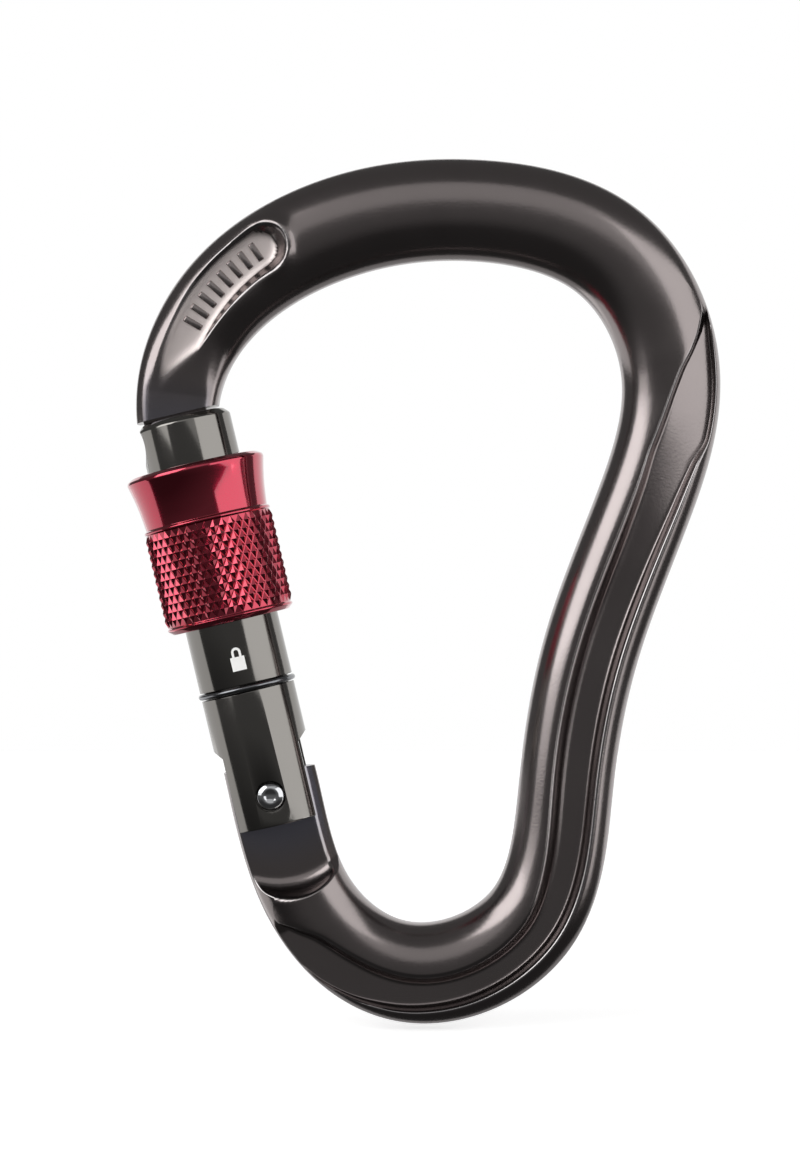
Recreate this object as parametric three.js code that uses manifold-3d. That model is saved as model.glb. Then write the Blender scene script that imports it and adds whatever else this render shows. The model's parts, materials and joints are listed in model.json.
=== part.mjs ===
// A pear-shaped locking carabiner: a forged aluminium frame, a round barrel gate on a riveted
// hinge, and a sleeve that screws along the gate and over the frame's nose.
//
// Millimetres, +Z up as the carabiner hangs, Y through its thickness, the gate on the -X side.
// The origin is the inside of the wide basket, where a rope bears.

import * as THREE from "three";
import { NURBSCurve } from "three/addons/curves/NURBSCurve.js";
import { mergeVertices } from "three/addons/utils/BufferGeometryUtils.js";
import Module from "manifold-3d";

// ---- Driving dimensions: frame ----
const FRAME_LENGTH = 110; // outside, from the top of the basket to the foot
const FRAME_WIDTH = 75; // outside, from the nose bow to the spine's shoulder
const BASKET_BAR = 13; // bar width at the two bows, in the frame's plane
const SIDE_BAR = 12; // bar width at the nose and the spine
const BAR_SQUARENESS = 2.3; // exponent of the bar's oval section, 2 for an ellipse
const WEB_THICKNESS = 4.5; // what the groove on each face leaves of the spine
const PANEL_THICKNESS = 7; // frame thickness under the two marking panels
const TONGUE_THICKNESS = 4.5; // hinge tongue, between the gate's ears
const TONGUE_TOP = 3.15; // above the pivot, on the gate's axis
const TONGUE_SLOPE = 8; // degrees, falling towards the inside
const POCKET_RADIUS = 5.9; // round end of the flats milled beside the tongue
const POCKET_DEPTH = 7; // from the pivot down to the centre of that round end
const POCKET_OFFSET = 0.7; // and inwards to it
const PIVOT_INSET = 4.7; // pivot from the tip of the bar, along its centreline
const PIVOT_OFFSET = 0.35; // pivot outwards from that centreline
const NOSE_INSET = 2.3; // middle of the gate's joint, from the other tip of the bar
const NOSE_OFFSET = 0.6; // gate's axis there, inwards from the centreline

// ---- Driving dimensions: gate ----
const GATE_RADIUS = 6;
const GATE_CHAMFER = 0.7;
const NOSE_GAP = 0.4; // gate's end to the frame's nose
const EAR_WIDTH = 9.8; // the two ears beside the tongue, in the frame's plane
const EAR_BELOW = 3.8; // ears reach this far below the pivot
const EAR_SHOULDER = 7; // the full round barrel starts this far above it
const SHOULDER_ROOT = 1.2; // slope where an ear's side meets the shoulder
const SHOULDER_RISE = 1; // and the shoulder's own rise to the gate's surface
const SLOT_TOP = 8; // tongue slot, above the pivot
const SLOT_CLEARANCE = 0.35; // tongue to ear, each side
const KEY_LENGTH = 5.2; // nose key, into the gate's end
const KEY_HEAD_RADIUS = 2.3;
const KEY_NECK = 3; // width of the key's neck, through the thickness
const KEY_INNER = 3.2; // key's end on the inside, from the gate's axis
const KEY_OUTER = 4.9; // and on the outside
const KEY_CLEARANCE = 0.4;
const RIVET_RADIUS = 1.5;
const RIVET_HEAD_STEP = 0.3; // head's radius over the shank's
const RIVET_HEAD = 0.8; // thickness of each head
const RIVET_DOME = 0.25; // height of its domed top
const RIVET_CROWN = 0.7; // flat of the dome, in from the head's edge
const RIVET_CLEARANCE = 0.25;

// ---- Driving dimensions: spring and plunger in the gate ----
const BORE_TOP = 26; // end of the blind bore, above the pivot
const BORE_CLEARANCE = 0.4; // plunger in its bore, on the radius
const PLUNGER_RADIUS = 2.1;
const PLUNGER_GAP = 0.65; // plunger's foot above the tongue with the gate shut
const PLUNGER_LENGTH = 8;
const PLUNGER_NOSE = 0.6; // height of the taper at its foot
const PLUNGER_TIP = 1.26; // radius of the foot's flat
const SPIGOT_LENGTH = 2; // pin inside the spring
const SPRING_WIRE = 0.6;
const SPRING_TURNS = 8;
const SEAT_GAP = 0.3; // between pieces that touch in use

// ---- Driving dimensions: sleeve and its thread ----
const SLEEVE_LENGTH = 20.5;
const SLEEVE_BELOW_TIP = 6.3; // sleeve's top below the gate's end, half unscrewed
const SLEEVE_COVER = 2.2; // how far it reaches past the gate's end when locked
const FLARE_LENGTH = 6.9;
const SLEEVE_CLEARANCE = 0.3; // sleeve's bore to the gate, on the radius
const FLARE_WALL = 2.6; // sleeve's wall at its top
const WAIST_WALL = 1.7; // where the flare meets the grip
const GRIP_WALL = 1.95;
const SLEEVE_CHAMFER = 0.6;
const NOSE_BORE_STEP = 0.6; // wider bore at the top, over the nose, on the radius
const NOSE_BORE_DEPTH = 4.6;
const THREAD_PITCH = 2;
const THREAD_DEPTH = 0.55; // groove in the gate
const THREAD_TIP = 0.8; // groove's width at its root
const THREAD_MOUTH = 1.4; // and at the gate's surface
const THREAD_CLEARANCE = 0.25; // ridge in groove, on each face
const NUT_LENGTH = 3.2; // threaded stretch in the middle of the sleeve
const FRICTION_RING_BELOW = 6; // nylon ring below the sleeve's middle
const FRICTION_RING_HEIGHT = 1.2;
const FRICTION_RING_WALL = 0.7;

// ---- Driving dimensions: stop ring ----
const STOP_RING_HEIGHT = 13.9; // above the pivot
const STOP_RING_WIRE = 0.7;
const STOP_RING_PROUD = 0.3; // how far it stands out of the gate
const STOP_RING_GAP = 30; // degrees left open
const STOP_RING_CLEARANCE = 0.15;
const STOP_RING_REST = 0.45; // sleeve's foot to the ring, fully unscrewed

// ---- Centreline of the bar ----
// Control points of a cubic B-spline, from the nose round the basket, down the spine and round
// the foot to the hinge. They lie on a grid that stretches with the frame: squares right of the
// basket's middle, squares below the top of the centreline, and how much wider (+) or narrower
// (-) than SIDE_BAR the bar is there, in millimetres.
const GRID_ACROSS = 126;
const GRID_DOWN = 194;
const CENTRELINE = [
  [-69, 57, -1.8],
  [-71, 45, -1.5],
  [-62, 21, 0.3],
  [-29, 2, 1.1],
  [6, -2, 0.7],
  [44, 6, 1.3],
  [61, 42, 0.4],
  [49, 77, 0.2],
  [35, 110, 0.4],
  [29, 144, -0.1],
  [27, 184, 0.3],
  [-12, 201, 1.3],
  [-41, 176, -1.2],
  [-44, 149, -0.1],
  [-47, 139, -0.6],
];
const SPANS = CENTRELINE.length - 3; // the curve's parameter runs from 0 to this

// ---- Section of the bar ----
// At each station: the bar's thickness; then, from its outer edge, the rim's crest, the two edges
// of the groove's floor and the crest of the round bead; and the groove's depth, 0 none to 1 full.
const SECTIONS = [
  [0.0, 7.6, 0.8, 2.0, 3.6, 5.5, 0],
  [0.4, 7.7, 0.8, 2.0, 3.6, 5.5, 0],
  [1.2, 10.4, 0.8, 2.0, 3.6, 5.5, 0],
  [2.2, 11.0, 0.8, 2.0, 3.6, 5.5, 0],
  [4.2, 11.2, 0.8, 2.0, 3.6, 5.5, 0],
  [4.62, 11.2, 0.2, 0.5, 0.8, 1.1, 0],
  [4.72, 11.2, 0.5, 0.9, 1.2, 2.2, 1],
  [4.85, 11.2, 0.8, 1.6, 2.4, 3.9, 1],
  [5.0, 11.1, 1.1, 2.2, 4.0, 5.9, 1],
  [5.2, 11.0, 1.3, 2.6, 5.4, 7.3, 1],
  [5.6, 11.0, 1.6, 3.1, 6.6, 8.7, 1],
  [6.4, 11.0, 2.1, 3.5, 6.6, 8.6, 1],
  [7.6, 11.0, 2.1, 3.7, 6.6, 8.5, 1],
  [8.6, 11.0, 2.3, 3.5, 6.0, 8.0, 1],
  [9.1, 11.1, 2.5, 3.3, 5.4, 7.5, 1],
  [9.9, 11.2, 2.0, 2.9, 5.0, 7.0, 1],
  [10.25, 11.1, 1.6, 2.4, 4.9, 6.9, 1],
  [10.45, 11.0, 0.3, 0.6, 4.6, 6.4, 1],
  [10.7, 10.9, 0.2, 0.4, 3.4, 5.2, 1],
  [10.85, 10.8, 0.2, 0.4, 1.6, 3.0, 1],
  [10.95, 10.7, 0.2, 0.5, 0.8, 1.1, 0],
  [11.3, 10.6, 0.8, 2.0, 3.6, 5.5, 0],
  [12.0, 10.4, 0.8, 2.0, 3.6, 5.5, 0],
];

// Marking panel sunk into each face of the nose bow: its two ends as stations, and its two long
// sides as distances from the bar's outer edge.
const PANEL = { from: 0.3, to: 1.56, outer: 1.8, inner: 7.2 };

// ---- Fineness of the meshes ----
const STATIONS = 84;
const ROUND_SIDES = 40;
const SMALL_SIDES = 24;
const THREAD_SIDES = 20; // steps in each turn of the thread
const TURN_STEPS = 12; // steps in each turn of the spring
const RING_STEPS = 36; // steps round the stop ring
const WIRE_SIDES = 8;
const OVERRUN = 1; // cuts and joins run this far past a surface

const wasm = await Module();
wasm.setup();

// A closed geometry as a solid that can be joined and cut.
function solidOf(geometry) {
  const bare = new THREE.BufferGeometry();
  bare.setAttribute("position", geometry.getAttribute("position").clone());
  bare.setIndex(geometry.index);
  const merged = mergeVertices(bare, 1e-4);
  return new wasm.Manifold(
    new wasm.Mesh({
      numProp: 3,
      vertProperties: merged.getAttribute("position").array,
      triVerts: new Uint32Array(merged.index.array),
    }),
  );
}

// A solid back as a geometry for a mesh.
function geometryOf(solid) {
  const mesh = solid.getMesh();
  const geometry = new THREE.BufferGeometry();
  geometry.setAttribute("position", new THREE.BufferAttribute(mesh.vertProperties, 3));
  geometry.setIndex(new THREE.BufferAttribute(mesh.triVerts, 1));
  geometry.computeVertexNormals();
  return geometry;
}

// Closed surface through rings of points, all with the same number of points, ends capped.
function loft(rings) {
  const count = rings[0].length;
  const middle = (ring) =>
    ring.reduce((sum, p) => sum.add(p), new THREE.Vector3()).divideScalar(count);
  const points = [...rings.flat(), middle(rings[0]), middle(rings.at(-1))];
  const [first, last] = [points.length - 2, points.length - 1];
  const lastRing = (rings.length - 1) * count;
  const index = [];
  for (let j = 0; j < count; j++) {
    const k = (j + 1) % count;
    index.push(first, k, j, last, lastRing + j, lastRing + k);
    for (let i = 0; i < lastRing; i += count) {
      index.push(i + j, i + k, i + count + j, i + k, i + count + k, i + count + j);
    }
  }
  const geometry = new THREE.BufferGeometry().setFromPoints(points);
  geometry.setIndex(index);
  return geometry;
}

// Solid of revolution about Z from [radius, height] pairs, given upwards on the outside.
function turned(profile, sides = ROUND_SIDES) {
  const points = profile.map(([radius, height]) => new THREE.Vector2(radius, height));
  const lathe = new THREE.LatheGeometry(points, sides);
  return solidOf(lathe.rotateX(Math.PI / 2));
}

// Cylinder between two heights on the Z axis.
const cylinder = (radius, from, to) => turned([[0, from], [radius, from], [radius, to], [0, to]]);

// Box from its low corner to its high corner.
function block(low, high) {
  const size = high.map((value, i) => value - low[i]);
  const centre = high.map((value, i) => (value + low[i]) / 2);
  return solidOf(new THREE.BoxGeometry(...size).translate(...centre));
}

// Outline of [x, z] points or a THREE.Shape, given a thickness from one y to another.
function plate(outline, fromY, toY) {
  const shape = outline instanceof THREE.Shape
    ? outline
    : new THREE.Shape(outline.map(([x, z]) => new THREE.Vector2(x, z)));
  const geometry = new THREE.ExtrudeGeometry(shape, {
    depth: toY - fromY,
    bevelEnabled: false,
    curveSegments: 12,
  });
  return solidOf(geometry.rotateX(Math.PI / 2).translate(0, toY, 0));
}

// Rows of [station, values...] joined by a curve that never overshoots a row.
function betweenRows(rows, station) {
  const last = rows.length - 2;
  const found = rows.findIndex((row, i) => i > 0 && station <= row[0]) - 1;
  const i = found < 0 ? last : found;
  const slope = (j, c) => (rows[j + 1][c] - rows[j][c]) / (rows[j + 1][0] - rows[j][0]);
  const bend = (j, c) => {
    if (j === 0 || j > last) return 0;
    const [before, after] = [slope(j - 1, c), slope(j, c)];
    return before * after > 0 ? (2 * before * after) / (before + after) : 0;
  };
  const step = rows[i + 1][0] - rows[i][0];
  const t = THREE.MathUtils.clamp((station - rows[i][0]) / step, 0, 1);
  return rows[i].slice(1).map((value, column) => {
    const c = column + 1;
    const rise = rows[i + 1][c] - value;
    const [m0, m1] = [bend(i, c) * step, bend(i + 1, c) * step];
    return value + t * (m0 + t * (3 * rise - 2 * m0 - m1 + t * (m0 + m1 - 2 * rise)));
  });
}

// ---- Bar ----
const gridX = (FRAME_WIDTH - SIDE_BAR) / GRID_ACROSS;
const gridZ = (FRAME_LENGTH - BASKET_BAR) / GRID_DOWN;
const knots = [0, 0, 0, ...Array.from({ length: SPANS + 1 }, (_, i) => i), SPANS, SPANS, SPANS];
const centreline = new NURBSCurve(
  3,
  knots,
  CENTRELINE.map(
    ([right, down, wider]) =>
      new THREE.Vector4(right * gridX, SIDE_BAR + wider, BASKET_BAR / 2 - down * gridZ, 1),
  ),
);

// Place, direction, outward direction and width of the bar at a station.
function barAt(station) {
  const point = centreline.getPoint(station / SPANS);
  const tangent = centreline.getTangent(station / SPANS);
  const along = new THREE.Vector3(tangent.x, 0, tangent.z).normalize();
  const outward = new THREE.Vector3(-along.z, 0, along.x);
  return { centre: new THREE.Vector3(point.x, 0, point.z), along, outward, width: point.y };
}

// Station at a distance along the centreline from the nose end, or from the hinge end if negative.
function stationAt(distance) {
  const fine = 2400;
  const sign = Math.sign(distance);
  let walked = 0;
  let last = barAt(sign > 0 ? 0 : SPANS).centre;
  for (let i = 1; i <= fine; i++) {
    const station = ((sign > 0 ? i : fine - i) * SPANS) / fine;
    const next = barAt(station).centre;
    walked += next.distanceTo(last);
    if (walked >= Math.abs(distance)) return station;
    last = next;
  }
  return sign > 0 ? SPANS : 0;
}

// How many stations one millimetre along the centreline is, near a station.
function stationsPerMm(station) {
  const step = 0.05;
  return step / barAt(station).centre.distanceTo(barAt(station - step).centre);
}

// Point in the frame's plane at a station and a distance in from the bar's outer edge.
function fromOuterEdge(station, inwards) {
  const bar = barAt(station);
  return bar.centre.clone().addScaledVector(bar.outward, bar.width / 2 - inwards);
}

// Half the thickness of the plain oval bar, a distance in from its outer edge.
function ovalHeight(inwards, width, thickness) {
  const off = Math.min(Math.abs((2 * inwards) / width - 1), 1);
  return (thickness / 2) * (1 - off ** BAR_SQUARENESS) ** (1 / BAR_SQUARENESS);
}

// Front half of the bar's section as [distance from the outer edge, half thickness] pairs.
function barSection(station, width) {
  const [thickness, rim, floorFrom, floorTo, bead, depth] = betweenRows(SECTIONS, station);
  const oval = (inwards) => ovalHeight(inwards, width, thickness);
  const edge = [0, 0.1, 0.4, 1].map((share) => rim * share);
  const groove = [(rim + floorFrom) / 2, floorFrom, floorTo, (floorTo + bead) / 2];
  const walls = [
    (oval(rim) + WEB_THICKNESS / 2) / 2,
    WEB_THICKNESS / 2,
    WEB_THICKNESS / 2,
    (oval(bead) + WEB_THICKNESS / 2) / 2,
  ];
  const round = [0, 1, 2, 3, 4, 5, 6].map((step) => Math.sin((step / 6) * (Math.PI / 2)));
  return [
    ...edge.map((inwards) => [inwards, oval(inwards)]),
    ...groove.map((inwards, i) => {
      const plain = oval(inwards);
      return [inwards, THREE.MathUtils.lerp(plain, Math.min(plain, walls[i]), depth)];
    }),
    ...round.map((share) => bead + (width - bead) * share).map((w) => [w, oval(w)]),
  ];
}

// The bar as one solid from tip to tip.
function barSolid() {
  const rings = [];
  for (let i = 0; i <= STATIONS; i++) {
    const station = (i / STATIONS) * SPANS;
    const bar = barAt(station);
    const half = barSection(station, bar.width);
    const place = ([inwards, height], side) =>
      bar.centre
        .clone()
        .addScaledVector(bar.outward, bar.width / 2 - inwards)
        .setY(side * height);
    const front = half.map((p) => place(p, -1));
    const back = half.slice(1, -1).map((p) => place(p, 1));
    rings.push([...front, ...back.reverse()]);
  }
  return solidOf(loft(rings));
}

// ---- Gate's place: from the pivot up to the nose ----
const hinge = barAt(stationAt(-PIVOT_INSET));
const pivot = hinge.centre.clone().addScaledVector(hinge.outward, PIVOT_OFFSET);
const nose = barAt(stationAt(NOSE_INSET));
const gateAxis = nose.centre.clone().addScaledVector(nose.outward, -NOSE_OFFSET).sub(pivot);
const gateLength = gateAxis.length() - NOSE_GAP / 2; // pivot to the gate's end
const noseHeight = gateLength + NOSE_GAP;
const gateTilt = Math.atan2(gateAxis.x, gateAxis.z);
const gatePlace = new THREE.Matrix4()
  .makeRotationY(gateTilt)
  .setPosition(pivot.x, pivot.y, pivot.z);

// A solid drawn in the gate's frame (Z up its axis from the pivot), moved to the frame's.
function inFrame(solid) {
  return solidOf(geometryOf(solid).applyMatrix4(gatePlace));
}

// Key profile of the nose, a round head on a neck, swept across the gate.
function keySolid(grow, inner, outer, neckTop) {
  const radius = KEY_HEAD_RADIUS + grow;
  const neck = KEY_NECK / 2 + grow;
  const headHeight = noseHeight - KEY_LENGTH + KEY_HEAD_RADIUS;
  const lift = Math.sqrt(radius ** 2 - neck ** 2);
  const shape = new THREE.Shape();
  shape.moveTo(neck, neckTop);
  shape.lineTo(-neck, neckTop);
  shape.lineTo(-neck, headHeight + lift);
  const start = Math.atan2(lift, -neck);
  shape.absarc(0, headHeight, radius, start, Math.atan2(lift, neck) + 2 * Math.PI, false);
  shape.lineTo(neck, neckTop);
  const geometry = new THREE.ExtrudeGeometry(shape, {
    depth: inner + outer,
    bevelEnabled: false,
    curveSegments: 16,
  });
  // drawn in (y, z), swept along x
  geometry.applyMatrix4(
    new THREE.Matrix4().set(0, 0, 1, -outer, 1, 0, 0, 0, 0, 1, 0, 0, 0, 0, 0, 1),
  );
  return solidOf(geometry);
}

// ---- Frame ----
function frameSolid() {
  const side = GATE_RADIUS * 2; // reaches past the bar on every side
  const belowNose = block([-side, -side, gateLength / 2], [side, side, noseHeight]);
  let frame = barSolid().subtract(inFrame(belowNose));
  frame = frame.add(inFrame(keySolid(0, KEY_INNER, KEY_OUTER, noseHeight + OVERRUN)));

  // tongue: flats milled on both faces, a sloping top and the rivet's hole
  const pocket = new THREE.Shape();
  pocket.moveTo(side, side);
  pocket.lineTo(-side, side);
  pocket.lineTo(-side, -POCKET_DEPTH / 2);
  pocket.lineTo(POCKET_OFFSET - POCKET_RADIUS, -POCKET_DEPTH);
  pocket.absarc(POCKET_OFFSET, -POCKET_DEPTH, POCKET_RADIUS, Math.PI, 2 * Math.PI, false);
  pocket.lineTo(side, -POCKET_DEPTH / 2);
  for (const [from, to] of [[-side, -TONGUE_THICKNESS / 2], [TONGUE_THICKNESS / 2, side]]) {
    frame = frame.subtract(inFrame(plate(pocket, from, to)));
  }
  const fall = side * Math.tan(THREE.MathUtils.degToRad(TONGUE_SLOPE));
  const above = [
    [-side, TONGUE_TOP + fall],
    [side, TONGUE_TOP - fall],
    [side, side],
    [-side, side],
  ];
  frame = frame.subtract(inFrame(plate(above, -side, side)));
  const hole = RIVET_RADIUS + RIVET_CLEARANCE;
  frame = frame.subtract(inFrame(crossPin(hole, side)));

  // marking panels
  for (const [from, to] of [[-side, -PANEL_THICKNESS / 2], [PANEL_THICKNESS / 2, side]]) {
    frame = frame.subtract(plate(panelOutline(), from, to));
  }
  return frame;
}

// Outline of a marking panel: two long sides that follow the bar and a round upper end.
function panelOutline() {
  const steps = 8;
  const outline = [];
  const reach = (PANEL.inner - PANEL.outer) / 2;
  const middle = (PANEL.inner + PANEL.outer) / 2;
  const roundStations = reach * stationsPerMm(PANEL.to);
  const roundFrom = PANEL.to - roundStations;
  for (let i = 0; i <= steps; i++) {
    outline.push([THREE.MathUtils.lerp(PANEL.from, roundFrom, i / steps), PANEL.outer]);
  }
  for (let i = 1; i < steps; i++) {
    const angle = (i / steps) * Math.PI;
    outline.push([
      roundFrom + roundStations * Math.sin(angle),
      middle - reach * Math.cos(angle),
    ]);
  }
  for (let i = 0; i <= steps; i++) {
    outline.push([THREE.MathUtils.lerp(roundFrom, PANEL.from, i / steps), PANEL.inner]);
  }
  return outline.map(([station, inwards]) => {
    const point = fromOuterEdge(station, inwards);
    return [point.x, point.z];
  });
}

// Cylinder across the gate at the pivot, in the gate's frame.
function crossPin(radius, reach) {
  return solidOf(geometryOf(cylinder(radius, -reach, reach)).rotateX(Math.PI / 2));
}

// ---- Thread ----
// A ridge that winds round Z, widest at its outer radius, with ends that fade out.
function helicalRidge({ tipRadius, tipWidth, baseRadius, baseWidth, from, to }) {
  const turns = (to - from) / THREAD_PITCH;
  const steps = Math.round(turns * THREAD_SIDES);
  const fade = THREAD_SIDES / 3; // steps over which each end rises
  const rings = [];
  for (let i = 0; i <= steps; i++) {
    const height = THREE.MathUtils.lerp(from, to, i / steps);
    const angle = (height / THREAD_PITCH) * 2 * Math.PI;
    const risen = THREE.MathUtils.smoothstep(Math.min(i, steps - i) + 0.5, 0, fade);
    const tip = THREE.MathUtils.lerp(baseRadius, tipRadius, risen);
    const corner = (radius, rise) =>
      new THREE.Vector3(radius * Math.cos(angle), radius * Math.sin(angle), height + rise);
    rings.push([
      corner(tip, -tipWidth / 2),
      corner(tip, tipWidth / 2),
      corner(baseRadius, baseWidth / 2),
      corner(baseRadius, -baseWidth / 2),
    ]);
  }
  return solidOf(loft(rings));
}

// ---- Sleeve's rest place and travel, in the gate's frame ----
const sleeveHeight = gateLength - SLEEVE_BELOW_TIP - SLEEVE_LENGTH / 2; // its middle
const travelUp = SLEEVE_BELOW_TIP + SLEEVE_COVER;
const stopRingTop = STOP_RING_HEIGHT + STOP_RING_WIRE / 2;
const travelDown = sleeveHeight - SLEEVE_LENGTH / 2 - stopRingTop - STOP_RING_REST;
const threadFrom = -travelDown - NUT_LENGTH / 2 - THREAD_PITCH / 4;
const threadTo = travelUp + NUT_LENGTH / 2 + THREAD_PITCH / 4;

// ---- Gate ----
function gateSolid() {
  const wide = GATE_RADIUS * 2;
  let gate = turned([
    [0, -EAR_BELOW],
    [GATE_RADIUS, -EAR_BELOW],
    [GATE_RADIUS, gateLength - GATE_CHAMFER],
    [GATE_RADIUS - GATE_CHAMFER, gateLength],
    [0, gateLength],
  ]);

  // ears: sides milled narrower, with sloping shoulders, and a slot for the tongue
  const ear = EAR_WIDTH / 2;
  for (const sign of [-1, 1]) {
    const relief = [
      [sign * ear, -wide],
      [sign * ear, EAR_SHOULDER - SHOULDER_ROOT],
      [sign * (ear + SHOULDER_ROOT), EAR_SHOULDER],
      [sign * wide, EAR_SHOULDER + SHOULDER_RISE],
      [sign * wide, -wide],
    ];
    gate = gate.subtract(plate(sign > 0 ? relief.reverse() : relief, -wide, wide));
  }
  const slot = TONGUE_THICKNESS / 2 + SLOT_CLEARANCE;
  gate = gate.subtract(block([-wide, -slot, -wide], [wide, slot, SLOT_TOP]));
  gate = gate.subtract(cylinder(PLUNGER_RADIUS + BORE_CLEARANCE, 0, BORE_TOP));
  gate = gate.subtract(crossPin(RIVET_RADIUS + RIVET_CLEARANCE, wide));
  for (const sign of [-1, 1]) gate = gate.subtract(rivetHeadRoom(sign));

  // socket for the nose key, open at the end and on the outside
  const socket = keySolid(KEY_CLEARANCE, KEY_INNER + KEY_CLEARANCE, wide, noseHeight + OVERRUN);
  gate = gate.subtract(socket);

  // thread, and the groove of the stop ring
  const thread = helicalRidge({
    tipRadius: GATE_RADIUS - THREAD_DEPTH,
    tipWidth: THREAD_TIP,
    baseRadius: GATE_RADIUS + SLEEVE_CLEARANCE,
    baseWidth: THREAD_MOUTH,
    from: threadFrom,
    to: threadTo,
  });
  gate = gate.subtract(lifted(thread, sleeveHeight));
  const ringRoot = GATE_RADIUS + STOP_RING_PROUD - STOP_RING_WIRE - STOP_RING_CLEARANCE;
  const ringHalf = STOP_RING_WIRE / 2 + STOP_RING_CLEARANCE;
  const ringGroove = turned([
    [ringRoot, STOP_RING_HEIGHT - ringHalf],
    [GATE_RADIUS + OVERRUN, STOP_RING_HEIGHT - ringHalf],
    [GATE_RADIUS + OVERRUN, STOP_RING_HEIGHT + ringHalf],
    [ringRoot, STOP_RING_HEIGHT + ringHalf],
    [ringRoot, STOP_RING_HEIGHT - ringHalf],
  ]);
  return gate.subtract(ringGroove);
}

// A solid moved up its axis.
function lifted(solid, height) {
  return solidOf(geometryOf(solid).translate(0, 0, height));
}

// Room for a rivet head, from its seat out through the ear.
function rivetHeadRoom(sign) {
  const seat = GATE_RADIUS - RIVET_HEAD - RIVET_CLEARANCE;
  const radius = RIVET_RADIUS + RIVET_HEAD_STEP + RIVET_CLEARANCE;
  const room = cylinder(radius, seat, seat + GATE_RADIUS);
  return solidOf(geometryOf(room).rotateX((-sign * Math.PI) / 2));
}

// ---- Pieces on the gate ----
function rivetSolid() {
  const seat = GATE_RADIUS - RIVET_HEAD;
  const headRadius = RIVET_RADIUS + RIVET_HEAD_STEP;
  const half = [
    [RIVET_RADIUS, seat],
    [headRadius, seat],
    [headRadius, GATE_RADIUS - RIVET_DOME],
    [headRadius - RIVET_CROWN, GATE_RADIUS],
    [0, GATE_RADIUS],
  ];
  const lower = half.map(([radius, height]) => [radius, -height]).reverse();
  return solidOf(geometryOf(turned([...lower, ...half], SMALL_SIDES)).rotateX(Math.PI / 2));
}

const plungerFoot = TONGUE_TOP + PLUNGER_GAP;
const plungerTop = plungerFoot + PLUNGER_LENGTH;

function plungerSolid() {
  const spigot = PLUNGER_RADIUS - SPRING_WIRE - 2 * SEAT_GAP;
  return turned(
    [
      [0, plungerFoot],
      [PLUNGER_TIP, plungerFoot],
      [PLUNGER_RADIUS, plungerFoot + PLUNGER_NOSE],
      [PLUNGER_RADIUS, plungerTop],
      [spigot, plungerTop],
      [spigot, plungerTop + SPIGOT_LENGTH],
      [0, plungerTop + SPIGOT_LENGTH],
    ],
    SMALL_SIDES,
  );
}

// The centre of a coil's wire, from one height to another.
class Coil extends THREE.Curve {
  constructor(radius, from, to, turns) {
    super();
    Object.assign(this, { radius, from, to, turns });
  }
  getPoint(t, target = new THREE.Vector3()) {
    const angle = t * this.turns * 2 * Math.PI;
    return target.set(
      this.radius * Math.cos(angle),
      this.radius * Math.sin(angle),
      THREE.MathUtils.lerp(this.from, this.to, t),
    );
  }
}

// Round wire along a curve.
function wire(curve, diameter, steps, sides) {
  const shape = new THREE.Shape(
    Array.from({ length: sides }, (_, i) => {
      const angle = (i / sides) * 2 * Math.PI;
      return new THREE.Vector2(Math.cos(angle), Math.sin(angle)).multiplyScalar(diameter / 2);
    }),
  );
  return solidOf(
    new THREE.ExtrudeGeometry(shape, { steps, bevelEnabled: false, extrudePath: curve }),
  );
}

function springSolid() {
  const rest = SPRING_WIRE / 2 + SEAT_GAP;
  const radius = PLUNGER_RADIUS - SPRING_WIRE / 2;
  const curve = new Coil(radius, plungerTop + rest, BORE_TOP - rest, SPRING_TURNS);
  return wire(curve, SPRING_WIRE, SPRING_TURNS * TURN_STEPS, WIRE_SIDES);
}

function stopRingSolid() {
  const radius = GATE_RADIUS + STOP_RING_PROUD - STOP_RING_WIRE / 2;
  const turn = 1 - STOP_RING_GAP / 360;
  const ring = wire(new Coil(radius, 0, 0, turn), STOP_RING_WIRE, RING_STEPS, WIRE_SIDES);
  return lifted(ring, STOP_RING_HEIGHT);
}

// ---- Sleeve and its friction ring, in the sleeve's own frame (Z = 0 at its middle) ----
const sleeveBore = GATE_RADIUS + SLEEVE_CLEARANCE;
const ringSeat = sleeveBore + FRICTION_RING_WALL;
const gripRadius = sleeveBore + GRIP_WALL;
const flareRadius = sleeveBore + FLARE_WALL;
const noseBore = sleeveBore + NOSE_BORE_STEP;

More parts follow.
